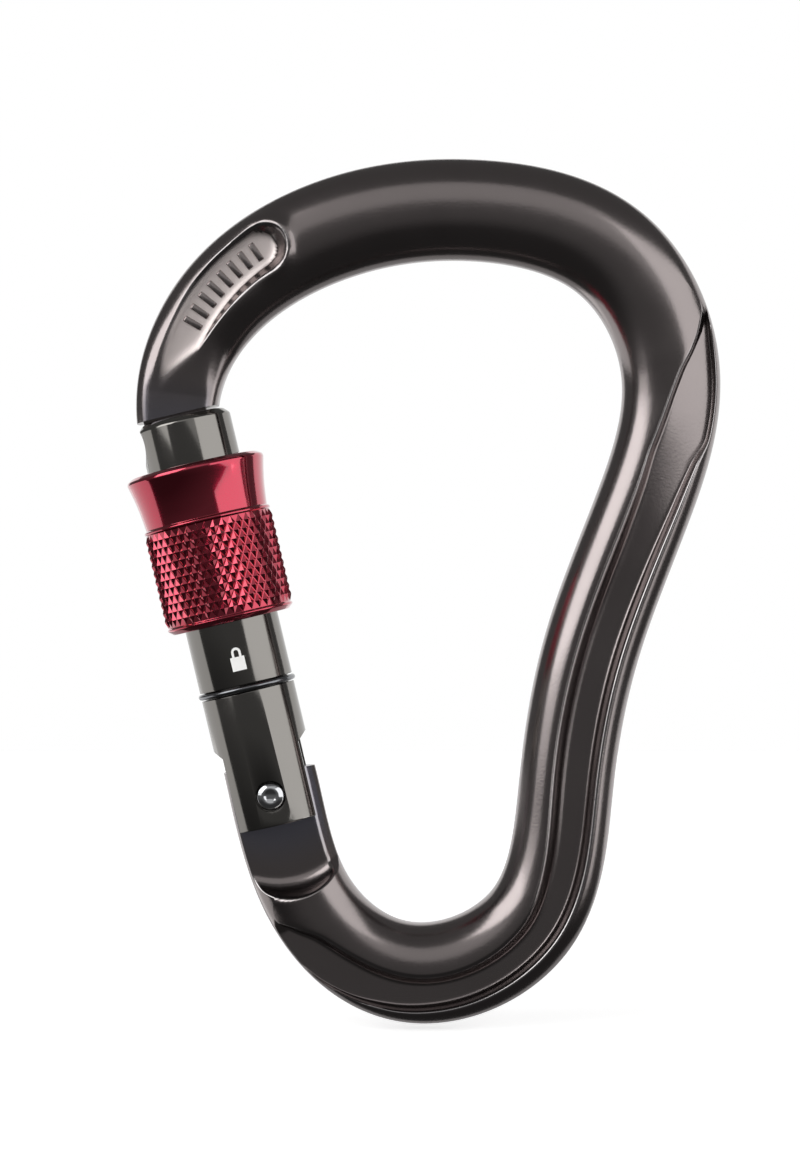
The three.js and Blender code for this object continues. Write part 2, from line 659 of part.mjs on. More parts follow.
function sleeveSolid() {
  const top = SLEEVE_LENGTH / 2;
  const waist = top - FLARE_LENGTH;
  const mouth = sleeveBore + SLEEVE_CHAMFER;
  const ringHalf = FRICTION_RING_HEIGHT / 2 + SEAT_GAP;
  let sleeve = turned([
    [mouth, -top],
    [gripRadius - SLEEVE_CHAMFER, -top],
    [gripRadius, -top + SLEEVE_CHAMFER],
    [gripRadius, waist - SLEEVE_CHAMFER],
    [sleeveBore + WAIST_WALL, waist],
    [flareRadius, top - SLEEVE_CHAMFER / 2],
    [flareRadius - SLEEVE_CHAMFER / 2, top],
    [noseBore, top],
    [noseBore, top - NOSE_BORE_DEPTH],
    [sleeveBore, top - NOSE_BORE_DEPTH - NOSE_BORE_STEP],
    [sleeveBore, -FRICTION_RING_BELOW + ringHalf],
    [ringSeat + SEAT_GAP, -FRICTION_RING_BELOW + ringHalf],
    [ringSeat + SEAT_GAP, -FRICTION_RING_BELOW - ringHalf],
    [sleeveBore, -FRICTION_RING_BELOW - ringHalf],
    [sleeveBore, -top + SLEEVE_CHAMFER],
    [mouth, -top],
  ]);
  const thread = helicalRidge({
    tipRadius: GATE_RADIUS - THREAD_DEPTH + THREAD_CLEARANCE,
    tipWidth: THREAD_TIP - 2 * THREAD_CLEARANCE,
    baseRadius: sleeveBore + THREAD_CLEARANCE,
    baseWidth: THREAD_MOUTH - 2 * THREAD_CLEARANCE,
    from: -NUT_LENGTH / 2,
    to: NUT_LENGTH / 2,
  });
  return sleeve.add(thread);
}

function frictionRingSolid() {
  const half = FRICTION_RING_HEIGHT / 2;
  const low = -FRICTION_RING_BELOW - half;
  const high = -FRICTION_RING_BELOW + half;
  return turned([
    [sleeveBore, low],
    [ringSeat, low],
    [ringSeat, high],
    [sleeveBore, high],
    [sleeveBore, low],
  ]);
}

// ---- Assembly ----
const finish = (color, roughness, metalness) =>
  new THREE.MeshStandardMaterial({ color, roughness, metalness });

function piece(name, solid, material) {
  const mesh = new THREE.Mesh(geometryOf(solid), material);
  mesh.name = name;
  return mesh;
}

const steel = finish(0xc8ccd0, 0.2, 1);
const springSteel = finish(0x4a4c50, 0.35, 1);

const carabiner = new THREE.Group();
carabiner.add(piece("frame_body", frameSolid(), finish(0x4a423f, 0.4, 1)));

const gate = new THREE.Group();
gate.position.copy(pivot);
gate.rotation.y = gateTilt;
gate.add(
  piece("gate_barrel", gateSolid(), finish(0x5c5b58, 0.25, 1)),
  piece("hinge_rivet", rivetSolid(), steel),
  piece("spring_plunger", plungerSolid(), steel),
  piece("gate_spring", springSolid(), springSteel),
  piece("stop_ring", stopRingSolid(), springSteel),
);
carabiner.add(gate);

const sleeve = new THREE.Group();
sleeve.position.z = sleeveHeight;
sleeve.add(
  piece("lock_sleeve", sleeveSolid(), finish(0x8e0c22, 0.3, 1)),
  piece("friction_ring", frictionRingSolid(), finish(0xe8e4d8, 0.5, 0)),
);
gate.add(sleeve);

export default carabiner;
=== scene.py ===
"""Pear-shaped locking carabiner: a forged frame, a round barrel gate and a knurled screw sleeve.

Sizes are millimetres. Finished meshes are metres, in the row frame: +Z up towards the wide
basket, +X towards the spine, Y through the thickness. The gate's own frame has Z up its axis
from the hinge rivet and X towards the inside of the carabiner.
"""

import json
import logging
import math
from dataclasses import dataclass
from enum import Enum

import bmesh
import bpy
import numpy as np
from mathutils import Matrix, Vector
from mathutils.kdtree import KDTree


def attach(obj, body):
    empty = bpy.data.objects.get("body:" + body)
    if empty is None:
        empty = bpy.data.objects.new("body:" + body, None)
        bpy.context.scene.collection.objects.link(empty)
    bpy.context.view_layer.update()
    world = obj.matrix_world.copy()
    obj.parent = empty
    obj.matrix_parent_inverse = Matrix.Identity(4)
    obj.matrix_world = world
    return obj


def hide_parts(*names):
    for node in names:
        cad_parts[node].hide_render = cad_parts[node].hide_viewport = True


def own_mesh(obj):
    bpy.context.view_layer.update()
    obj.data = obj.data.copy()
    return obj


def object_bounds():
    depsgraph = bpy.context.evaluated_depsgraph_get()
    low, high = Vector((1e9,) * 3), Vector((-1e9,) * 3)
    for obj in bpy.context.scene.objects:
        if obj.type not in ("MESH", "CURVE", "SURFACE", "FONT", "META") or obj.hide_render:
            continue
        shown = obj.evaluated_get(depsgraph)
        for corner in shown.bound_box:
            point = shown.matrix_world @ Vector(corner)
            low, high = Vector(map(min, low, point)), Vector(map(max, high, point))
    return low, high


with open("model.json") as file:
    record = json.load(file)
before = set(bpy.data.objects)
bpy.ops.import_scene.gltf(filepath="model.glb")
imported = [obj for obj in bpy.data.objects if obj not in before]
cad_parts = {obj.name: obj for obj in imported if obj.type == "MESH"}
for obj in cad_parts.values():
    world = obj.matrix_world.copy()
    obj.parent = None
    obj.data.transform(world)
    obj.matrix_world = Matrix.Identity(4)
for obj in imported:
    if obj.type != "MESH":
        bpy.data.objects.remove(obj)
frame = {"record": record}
CAD_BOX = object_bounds()

log = logging.getLogger("carabiner")
MM = 0.001
FRONT = -1
BACK = 1


class Cut(Enum):
    """How one solid is combined with another."""

    AWAY = "DIFFERENCE"
    JOIN = "UNION"


# ---- Small tools ----
def linear(colour: str) -> tuple[float, float, float, float]:
    """Turns an sRGB hex colour into linear RGBA.

    Args:
        colour: six hex digits with a leading hash.

    Returns:
        Red, green, blue and alpha from 0 to 1.
    """
    channels = [int(colour[i : i + 2], 16) / 255 for i in (1, 3, 5)]
    values = [c / 12.92 if c <= 0.04045 else ((c + 0.055) / 1.055) ** 2.4 for c in channels]
    return (values[0], values[1], values[2], 1.0)


def add_node(
    tree: bpy.types.NodeTree, kind: str, settings: dict | None = None, inputs: dict | None = None
) -> bpy.types.Node:
    """Adds a node with its settings and links.

    Args:
        tree: the node tree.
        kind: the node's type name.
        settings: the node's own properties.
        inputs: a value or an output socket for each input, by its name or number.

    Returns:
        The new node.
    """
    node = tree.nodes.new(kind)
    for name, value in (settings or {}).items():
        setattr(node, name, value)
    for name, value in (inputs or {}).items():
        if isinstance(value, bpy.types.NodeSocket):
            tree.links.new(value, node.inputs[name])
        else:
            node.inputs[name].default_value = value
    return node


def smoothstep(low: float, high: float, value: np.ndarray) -> np.ndarray:
    """Rises smoothly from 0 at low to 1 at high."""
    t = np.clip((value - low) / (high - low), 0, 1)
    return t * t * (3 - 2 * t)


def lower_of(a: np.ndarray, b: np.ndarray, rounding: float) -> np.ndarray:
    """The lower of two heights, with the crease between them rounded.

    Args:
        a: first heights.
        b: second heights.
        rounding: height difference over which the crease is rounded.

    Returns:
        The combined heights.
    """
    near = np.maximum(rounding - np.abs(a - b), 0)
    return np.minimum(a, b) - near * near / (4 * rounding)


def rise_from(start: float, value: np.ndarray, rounding: float) -> np.ndarray:
    """Zero up to a start and rising one for one after it, with a rounded corner between."""
    past = value - start
    return (past + np.sqrt(past * past + rounding * rounding)) / 2


def mesh_of(points: np.ndarray, faces: list[tuple[int, ...]]) -> bpy.types.Mesh:
    """Makes a mesh from points and faces."""
    mesh = bpy.data.meshes.new("part")
    mesh.from_pydata(np.asarray(points, float).tolist(), [], faces)
    mesh.update()
    return mesh


def turned(profile: list[tuple[float, float]], sides: int = 160) -> bpy.types.Mesh:
    """Turns a profile about Z into a closed solid.

    Args:
        profile: radius and height pairs, upwards on the outside, ending where it starts or on
            the axis at both ends.
        sides: steps round the axis.

    Returns:
        The solid.
    """
    closed = profile[0] == profile[-1]
    rows = profile[:-1] if closed else profile
    points: list[tuple[float, float, float]] = []
    rings: list[list[int]] = []
    for radius, height in rows:
        first = len(points)
        count = 1 if radius == 0 else sides
        for j in range(count):
            angle = 2 * math.pi * j / sides
            points.append((radius * math.cos(angle), radius * math.sin(angle), height))
        rings.append([first + j % count for j in range(sides)])
    pairs = list(zip(rings, rings[1:])) + ([(rings[-1], rings[0])] if closed else [])
    faces = []
    for low, high in pairs:
        for j in range(sides):
            k = (j + 1) % sides
            corners = list(dict.fromkeys((low[j], low[k], high[k], high[j])))
            if len(corners) > 2:
                faces.append(tuple(corners))
    return mesh_of(np.array(points), faces)


def eased(corners: list[tuple[float, float, float]], steps: int = 4) -> list[tuple[float, float]]:
    """Rounds the corners of a profile.

    Args:
        corners: radius, height and corner radius triples.
        steps: steps in each rounded corner.

    Returns:
        Radius and height pairs.
    """
    closed = corners[0][:2] == corners[-1][:2]
    result: list[tuple[float, float]] = []
    count = len(corners) - 1 if closed else len(corners)
    for i in range(count):
        here = Vector(corners[i][:2])
        if corners[i][2] == 0:
            result.append((here.x, here.y))
            continue
        before = (Vector(corners[i - 1 if i or not closed else count - 1][:2]) - here).normalized()
        after = (Vector(corners[(i + 1) % count][:2]) - here).normalized()
        reach = corners[i][2]
        for step in range(steps + 1):
            t = step / steps
            point = here + before * reach * (1 - t) ** 2 + after * reach * t**2
            result.append((point.x, point.y))
    if closed:
        result.append(result[0])
    return result


def extruded(outline: list[tuple[float, float]], low: float, high: float) -> bpy.types.Mesh:
    """A prism from an outline in X and Z, anticlockwise seen along +Y, between two values of Y."""
    count = len(outline)
    points = [(x, y, z) for y in (low, high) for x, z in outline]
    faces = [tuple(range(count)), tuple(reversed(range(count, 2 * count)))]
    faces += [(i + count, (i + 1) % count + count, (i + 1) % count, i) for i in range(count)]
    mesh = mesh_of(np.array(points), faces)
    return outward(mesh)


def outward(mesh: bpy.types.Mesh) -> bpy.types.Mesh:
    """Turns a closed mesh's faces to point out."""
    shell = bmesh.new()
    shell.from_mesh(mesh)
    bmesh.ops.recalc_face_normals(shell, faces=shell.faces)
    shell.to_mesh(mesh)
    shell.free()
    return mesh


def box_of(low: tuple[float, float, float], high: tuple[float, float, float]) -> bpy.types.Mesh:
    """A block from its low corner to its high corner."""
    outline = [(low[0], low[2]), (high[0], low[2]), (high[0], high[2]), (low[0], high[2])]
    return extruded(outline, low[1], high[1])


def placed(mesh: bpy.types.Mesh, place: Matrix) -> bpy.types.Mesh:
    """Moves a mesh's points by a matrix."""
    mesh.transform(place)
    mesh.update()
    return mesh


def object_of(name: str, mesh: bpy.types.Mesh) -> bpy.types.Object:
    """Puts a mesh in the scene as an object at the origin."""
    made = bpy.data.objects.new(name, mesh)
    bpy.context.scene.collection.objects.link(made)
    return made


def evaluated(made: bpy.types.Object) -> bpy.types.Mesh:
    """The mesh of an object with its modifiers applied; the object itself is removed."""
    graph = bpy.context.evaluated_depsgraph_get()
    mesh = bpy.data.meshes.new_from_object(made.evaluated_get(graph), depsgraph=graph)
    bpy.data.objects.remove(made)
    return mesh


def carved(body: bpy.types.Mesh, tools: list[tuple[bpy.types.Mesh, Cut]]) -> bpy.types.Mesh:
    """Joins or cuts a solid with others.

    Args:
        body: the solid to start from.
        tools: each tool's solid and what it does.

    Returns:
        The finished solid.
    """
    made = object_of("blank", body)
    helpers = []
    for tool, cut in tools:
        helper = object_of("tool", tool)
        helper.hide_render = True
        helpers.append(helper)
        modifier = made.modifiers.new("cut", "BOOLEAN")
        modifier.operation = cut.value
        modifier.solver = "MANIFOLD"
        modifier.object = helper
    mesh = evaluated(made)
    for helper in helpers:
        bpy.data.objects.remove(helper)
    return mesh


def bevelled(body: bpy.types.Mesh, width: float, degrees: float = 35) -> bpy.types.Mesh:
    """Breaks every edge sharper than an angle with a small round bevel."""
    made = object_of("blank", body)
    modifier = made.modifiers.new("break_edges", "BEVEL")
    modifier.limit_method = "ANGLE"
    modifier.angle_limit = math.radians(degrees)
    modifier.width = width
    modifier.segments = 2
    modifier.use_clamp_overlap = True
    return evaluated(made)


def finished(
    name: str,
    mesh: bpy.types.Mesh,
    material: bpy.types.Material,
    body: str,
    stands_for: str | None = None,
    crease: float = 32,
) -> bpy.types.Object:
    """Makes the finished piece from its mesh, in metres in the row frame.

    Args:
        name: the piece's name.
        mesh: its mesh.
        material: its finish.
        body: the body it moves with.
        stands_for: the node it replaces.
        crease: edges sharper than this many degrees stay sharp.

    Returns:
        The piece.
    """
    mesh.materials.clear()
    mesh.materials.append(material)
    mesh.shade_smooth()
    mesh.set_sharp_from_angle(angle=math.radians(crease))
    mesh.name = name
    made = object_of(name, mesh)
    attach(made, body)
    if stands_for:
        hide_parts(stands_for)
    low = [min(v.co[i] for v in mesh.vertices) / MM for i in range(3)]
    high = [max(v.co[i] for v in mesh.vertices) / MM for i in range(3)]
    log.info("%s: %d faces, %s to %s mm", name, len(mesh.polygons),
             [round(v, 2) for v in low], [round(v, 2) for v in high])
    return made


def new_tree(name: str, ports: dict[str, str]) -> tuple[bpy.types.NodeTree, dict]:
    """Starts a geometry node tree.

    Args:
        name: its name.
        ports: what each input holds, by the input's name; geometry comes first.

    Returns:
        The tree, and the sockets of its inputs by name.
    """
    tree = bpy.data.node_groups.new(name, "GeometryNodeTree")
    for port, kind in ports.items():
        tree.interface.new_socket(port, in_out="INPUT", socket_type=f"NodeSocket{kind}")
    tree.interface.new_socket("Geometry", in_out="OUTPUT", socket_type="NodeSocketGeometry")
    given = add_node(tree, "NodeGroupInput").outputs
    return tree, {port: given[port] for port in ports}


# ---- Finishes ----
@dataclass(frozen=True)
class Finish:
    """What every finish has: a name, a base colour, and how metallic and rough it is."""

    name: str
    colour: str
    roughness: float
    metallic: float = 1.0

    def start(self) -> tuple[bpy.types.NodeTree, bpy.types.Node, bpy.types.NodeSocket]:
        """Starts the material.

        Returns:
            The node tree, its Principled shader and the Object coordinates.
        """
        material = bpy.data.materials.new(self.name)
        material.use_nodes = True
        tree = material.node_tree
        shader = tree.nodes["Principled BSDF"]
        shader.inputs["Base Color"].default_value = linear(self.colour)
        shader.inputs["Metallic"].default_value = self.metallic
        shader.inputs["Roughness"].default_value = self.roughness
        place = add_node(tree, "ShaderNodeTexCoord").outputs["Object"]
        return tree, shader, place

    def uneven_roughness(
        self, tree: bpy.types.NodeTree, place: bpy.types.NodeSocket, patch: float, spread: float
    ) -> bpy.types.NodeSocket:
        """Roughness that wanders a little over the surface, as handling leaves it.

        Args:
            tree: the node tree.
            place: coordinates in metres.
            patch: size of a patch in millimetres.
            spread: how far the roughness goes either way.

        Returns:
            The roughness socket.
        """
        cloud = add_node(tree, "ShaderNodeTexNoise", inputs={
            "Vector": place, "Scale": 1 / (patch * MM), "Detail": 4.0,
        })
        low, high = self.roughness - spread, self.roughness + spread
        ramp = add_node(tree, "ShaderNodeMapRange", inputs={
            "Value": cloud.outputs["Fac"], "From Min": 0.3, "From Max": 0.7,
            "To Min": low, "To Max": high,
        })
        return ramp.outputs["Result"]


@dataclass(frozen=True)
class TumbledAnodising(Finish):
    """Hard-anodised forged aluminium, tumbled before anodising: a satin gunmetal skin with a very
    fine peened grain, smoother and paler on the crests, bluish on milled flats, frosted in the
    etched panels."""

    milled_colour: str = "#8E8D99"
    crest_colour: str = "#B3AFAF"
    etched_colour: str = "#EEE3E0"
    grain: float = 0.32  # of the tumbled skin
    grain_height: float = 0.007
    cutter_lines: float = 0.35  # between the lines an end mill leaves, drawn coarse to show
    frost_grain: float = 0.45  # of the etched panels, drawn coarse to show
    milled_roughness: float = 0.26
    etched_roughness: float = 0.48
    crest_roughness: float = 0.16

    def material(self, along: tuple[float, float, float]) -> bpy.types.Material:
        """Makes the material.

        Args:
            along: turn in radians that lines Z up with the gate's axis, for the cutter lines.

        Returns:
            The material.
        """
        tree, shader, place = self.start()
        mask = {
            key: add_node(tree, "ShaderNodeAttribute", {"attribute_name": key}).outputs["Fac"]
            for key in ("milled", "etched", "crest")
        }
        tone = add_node(tree, "ShaderNodeTexNoise", inputs={
            "Vector": place, "Scale": 1 / (9 * MM), "Detail": 3.0,
        })
        base = add_node(tree, "ShaderNodeMix", {"data_type": "RGBA"}, {
            "Factor": tone.outputs["Fac"],
            6: linear(self.colour),
            7: tuple(c * 1.12 for c in linear(self.colour)[:3]) + (1.0,),
        })
        colour = base.outputs[2]
        shades = {"milled": self.milled_colour, "etched": self.etched_colour, "crest": self.crest_colour}
        for key, shade in shades.items():
            layer = add_node(tree, "ShaderNodeMix", {"data_type": "RGBA"}, {
                "Factor": mask[key], 6: colour, 7: linear(shade),
            })
            colour = layer.outputs[2]
        tree.links.new(colour, shader.inputs["Base Color"])

        rough = self.uneven_roughness(tree, place, 6, 0.02)
        values = {
            "milled": self.milled_roughness, "etched": self.etched_roughness, "crest": self.crest_roughness,
        }
        for key, value in values.items():
            layer = add_node(tree, "ShaderNodeMix", {"data_type": "FLOAT"}, {
                "Factor": mask[key], 2: rough, 3: value,
            })
            rough = layer.outputs[0]
        tree.links.new(rough, shader.inputs["Roughness"])

        skin = add_node(tree, "ShaderNodeTexNoise", inputs={
            "Vector": place, "Scale": 1 / (self.grain * MM), "Detail": 2.0,
        })
        stretched = add_node(tree, "ShaderNodeMapping", inputs={
            "Vector": place, "Rotation": along, "Scale": (1, 1, 0.06),
        })
        lines = add_node(tree, "ShaderNodeTexNoise", inputs={
            "Vector": stretched.outputs["Vector"], "Scale": 1 / (self.cutter_lines * MM), "Detail": 2.0,
        })
        frost = add_node(tree, "ShaderNodeTexVoronoi", inputs={
            "Vector": place, "Scale": 1 / (self.frost_grain * MM),
        })
        relief = skin.outputs["Fac"]
        for key, texture in (("milled", lines.outputs["Fac"]), ("etched", frost.outputs["Distance"])):
            layer = add_node(tree, "ShaderNodeMix", {"data_type": "FLOAT"}, {
                "Factor": mask[key], 2: relief, 3: texture,
            })
            relief = layer.outputs[0]
        bump = add_node(tree, "ShaderNodeBump", inputs={
            "Height": relief, "Distance": self.grain_height * MM, "Strength": 1.0,
        })
        tree.links.new(bump.outputs["Normal"], shader.inputs["Normal"])
        return bpy.data.materials[self.name]


@dataclass(frozen=True)
class TurnedAnodising(Finish):
    """Anodised aluminium over fine turning marks: a glossy skin whose marks run round the axis and
    blur reflections a little along it."""

    feed: float = 0.3  # between turning marks, drawn coarse to show
    mark_height: float = 0.0006
    coat: float = 0.0

    def material(self, along: tuple[float, float, float]) -> bpy.types.Material:
        """Makes the material.

        Args:
            along: turn in radians that lines Z up with the piece's axis.

        Returns:
            The material.
        """
        tree, shader, place = self.start()
        shader.inputs["Coat Weight"].default_value = self.coat
        shader.inputs["Coat Roughness"].default_value = 0.05
        shader.inputs["Coat IOR"].default_value = 1.7
        tree.links.new(self.uneven_roughness(tree, place, 5, 0.025), shader.inputs["Roughness"])
        rings = add_node(tree, "ShaderNodeMapping", inputs={
            "Vector": place, "Rotation": along, "Scale": (0.02, 0.02, 1),
        })
        marks = add_node(tree, "ShaderNodeTexNoise", inputs={
            "Vector": rings.outputs["Vector"], "Scale": 1 / (self.feed * MM), "Detail": 3.0,
        })
        bump = add_node(tree, "ShaderNodeBump", inputs={
            "Height": marks.outputs["Fac"], "Distance": self.mark_height * MM, "Strength": 1.0,
        })
        tree.links.new(bump.outputs["Normal"], shader.inputs["Normal"])
        return bpy.data.materials[self.name]


@dataclass(frozen=True)
class BrightSteel(Finish):
    """Steel that was polished or drawn: bright, with faint scuffs."""

    scuff: float = 0.4

    def material(self) -> bpy.types.Material:
        """Makes the material."""
        tree, shader, place = self.start()
        tree.links.new(self.uneven_roughness(tree, place, self.scuff, 0.04), shader.inputs["Roughness"])
        dust = add_node(tree, "ShaderNodeTexNoise", inputs={"Vector": place, "Scale": 1 / (self.scuff * MM)})
        bump = add_node(tree, "ShaderNodeBump", inputs={
            "Height": dust.outputs["Fac"], "Distance": 0.001 * MM, "Strength": 0.6,
        })
        tree.links.new(bump.outputs["Normal"], shader.inputs["Normal"])
        return bpy.data.materials[self.name]


@dataclass(frozen=True)
class DullPlastic(Finish):
    """Moulded nylon or printing ink: no metal, a soft sheen and a faint grain."""

    grain: float = 0.2
    grain_height: float = 0.003

    def material(self) -> bpy.types.Material:
        """Makes the material."""
        tree, shader, place = self.start()
        tree.links.new(self.uneven_roughness(tree, place, 1, 0.06), shader.inputs["Roughness"])
        grain = add_node(tree, "ShaderNodeTexNoise", inputs={"Vector": place, "Scale": 1 / (self.grain * MM)})
        bump = add_node(tree, "ShaderNodeBump", inputs={
            "Height": grain.outputs["Fac"], "Distance": self.grain_height * MM, "Strength": 1.0,
        })
        tree.links.new(bump.outputs["Normal"], shader.inputs["Normal"])
        return bpy.data.materials[self.name]


# ---- The gate's place ----
@dataclass(frozen=True)
class GatePlace:
    """Where the gate sits: its hinge point in millimetres and its axis."""

    pivot: Vector
    axis: Vector

    @classmethod
    def from_record(cls, record: dict) -> "GatePlace":
        """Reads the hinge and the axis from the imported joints."""
        joints = {joint["name"]: joint for joint in record["behaviour"]["joints"]}
        pivot = Vector(joints["gate_swing"]["pos_m"]) / MM
        axis = Vector(joints["plunger_slide"]["axis"]).normalized()
        return cls(pivot, axis)

    @property
    def tilt(self) -> float:
        """The axis's lean about Y, in radians."""
        return math.atan2(self.axis.x, self.axis.z)

    def matrix(self, height: float = 0) -> Matrix:
        """Moves a piece drawn in the gate's frame, in millimetres, to its place in metres."""
        turn = Matrix.Rotation(self.tilt, 4, "Y")
        lift = Matrix.Translation((0, 0, height))
        return Matrix.Scale(MM, 4) @ Matrix.Translation(self.pivot) @ turn @ lift

    def millimetres(self) -> Matrix:
        """The same, with both frames in millimetres."""
        return Matrix.Translation(self.pivot) @ Matrix.Rotation(self.tilt, 4, "Y")

    @property
    def texture_turn(self) -> tuple[float, float, float]:
        """Mapping rotation that lines a texture's Z up with the axis."""
        return (0, -self.tilt, 0)


# ---- The bar of the frame ----
class BarPath:
    """Centreline and width of the forged bar, from the nose tip round to the hinge tip.

    The centreline is a cubic B-spline through the plane of the frame; a station is its
    parameter. Outward is away from the inside of the carabiner. The control points were not
    drawn by hand: another script made them, as a least-squares fit to a traced centreline, and
    they are rounded to whole squares of the grid.
    """

    LENGTH = 110.0
    WIDTH = 75.0
    BASKET_BAR = 13.0
    SIDE_BAR = 12.0
    GRID_ACROSS = 126
    GRID_DOWN = 194
    # squares right of the basket's middle, squares down, and bar width over SIDE_BAR
    CONTROL = (
        (-69, 57, -1.8), (-71, 45, -1.5), (-62, 21, 0.3), (-29, 2, 1.1), (6, -2, 0.7),
        (44, 6, 1.3), (61, 42, 0.4), (49, 77, 0.2), (35, 110, 0.4), (29, 144, -0.1),
        (27, 184, 0.3), (-12, 201, 1.3), (-41, 176, -1.2), (-44, 149, -0.1), (-47, 139, -0.6),
    )
    FINE = 4000

    def __init__(self) -> None:
        """Works out the control points and the length along the path."""
        across = (self.WIDTH - self.SIDE_BAR) / self.GRID_ACROSS
        down = (self.LENGTH - self.BASKET_BAR) / self.GRID_DOWN
        self.control = np.array([
            (x * across, self.BASKET_BAR / 2 - z * down, self.SIDE_BAR + wider)
            for x, z, wider in self.CONTROL
        ])
        self.spans = len(self.CONTROL) - 3
        self.table = np.linspace(0, self.spans, self.FINE)
        steps = np.diff(self.curve(self.table)[:, :2], axis=0)
        self.walked = np.concatenate([[0], np.cumsum(np.hypot(steps[:, 0], steps[:, 1]))])

    @property
    def length(self) -> float:
        """Length along the centreline."""
        return float(self.walked[-1])

    def curve(self, station: np.ndarray) -> np.ndarray:
        """X, Z and width at each station."""
        count = len(self.control)
        knots = np.concatenate([[0] * 3, np.arange(self.spans + 1), [self.spans] * 3]).astype(float)
        u = np.clip(station, 0, self.spans - 1e-9)[:, None]
        basis = ((knots[:-1] <= u) & (u < knots[1:])).astype(float)
        for degree in (1, 2, 3):
            rise = knots[degree:-1] - knots[: -degree - 1]
            fall = knots[degree + 1 :] - knots[1:-degree]
            with np.errstate(divide="ignore", invalid="ignore"):
                left = np.where(rise > 0, (u - knots[: -degree - 1]) / rise, 0)
                right = np.where(fall > 0, (knots[degree + 1 :] - u) / fall, 0)
            basis = left * basis[:, :-1] + right * basis[:, 1:]
        return basis[:, :count] @ self.control

    def station(self, walked: np.ndarray) -> np.ndarray:
        """Stations at distances along the centreline from the nose tip."""
        return np.interp(walked, self.walked, self.table)

    def distance(self, station: np.ndarray) -> np.ndarray:
        """Distances along the centreline of stations."""
        return np.interp(station, self.table, self.walked)

    def outward(self, station: np.ndarray) -> np.ndarray:
        """Unit vectors in X and Z that point away from the inside."""
        step = 0.002
        ahead = self.curve(np.clip(station + step, 0, self.spans))
        behind = self.curve(np.clip(station - step, 0, self.spans))
        along = (ahead - behind)[:, :2]
        along /= np.linalg.norm(along, axis=1)[:, None]
        return np.stack([-along[:, 1], along[:, 0]], axis=1)


def between_rows(rows: np.ndarray, station: np.ndarray) -> np.ndarray:
    """Joins rows of a table by a curve that never overshoots a row.

    Args:
        rows: rows of station and values.
        station: where the values are wanted.

    Returns:
        One row of values for each station.
    """
    at = rows[:, 0]
    gap = np.diff(at)[:, None]
    slope = np.diff(rows[:, 1:], axis=0) / gap
    bend = np.zeros((len(rows), rows.shape[1] - 1))
    before, after = slope[:-1], slope[1:]
    same = before * after > 0
    total = np.where(same, before + after, 1)
    bend[1:-1] = np.where(same, 2 * before * after / total, 0)
    i = np.clip(np.searchsorted(at, station, side="left") - 1, 0, len(rows) - 2)
    t = np.clip((station - at[i]) / gap[i, 0], 0, 1)[:, None]
    value = rows[i, 1:]
    rise = rows[i + 1, 1:] - value
    m0, m1 = bend[i] * gap[i], bend[i + 1] * gap[i]
    return value + t * (m0 + t * (3 * rise - 2 * m0 - m1 + t * (m0 + m1 - 2 * rise)))


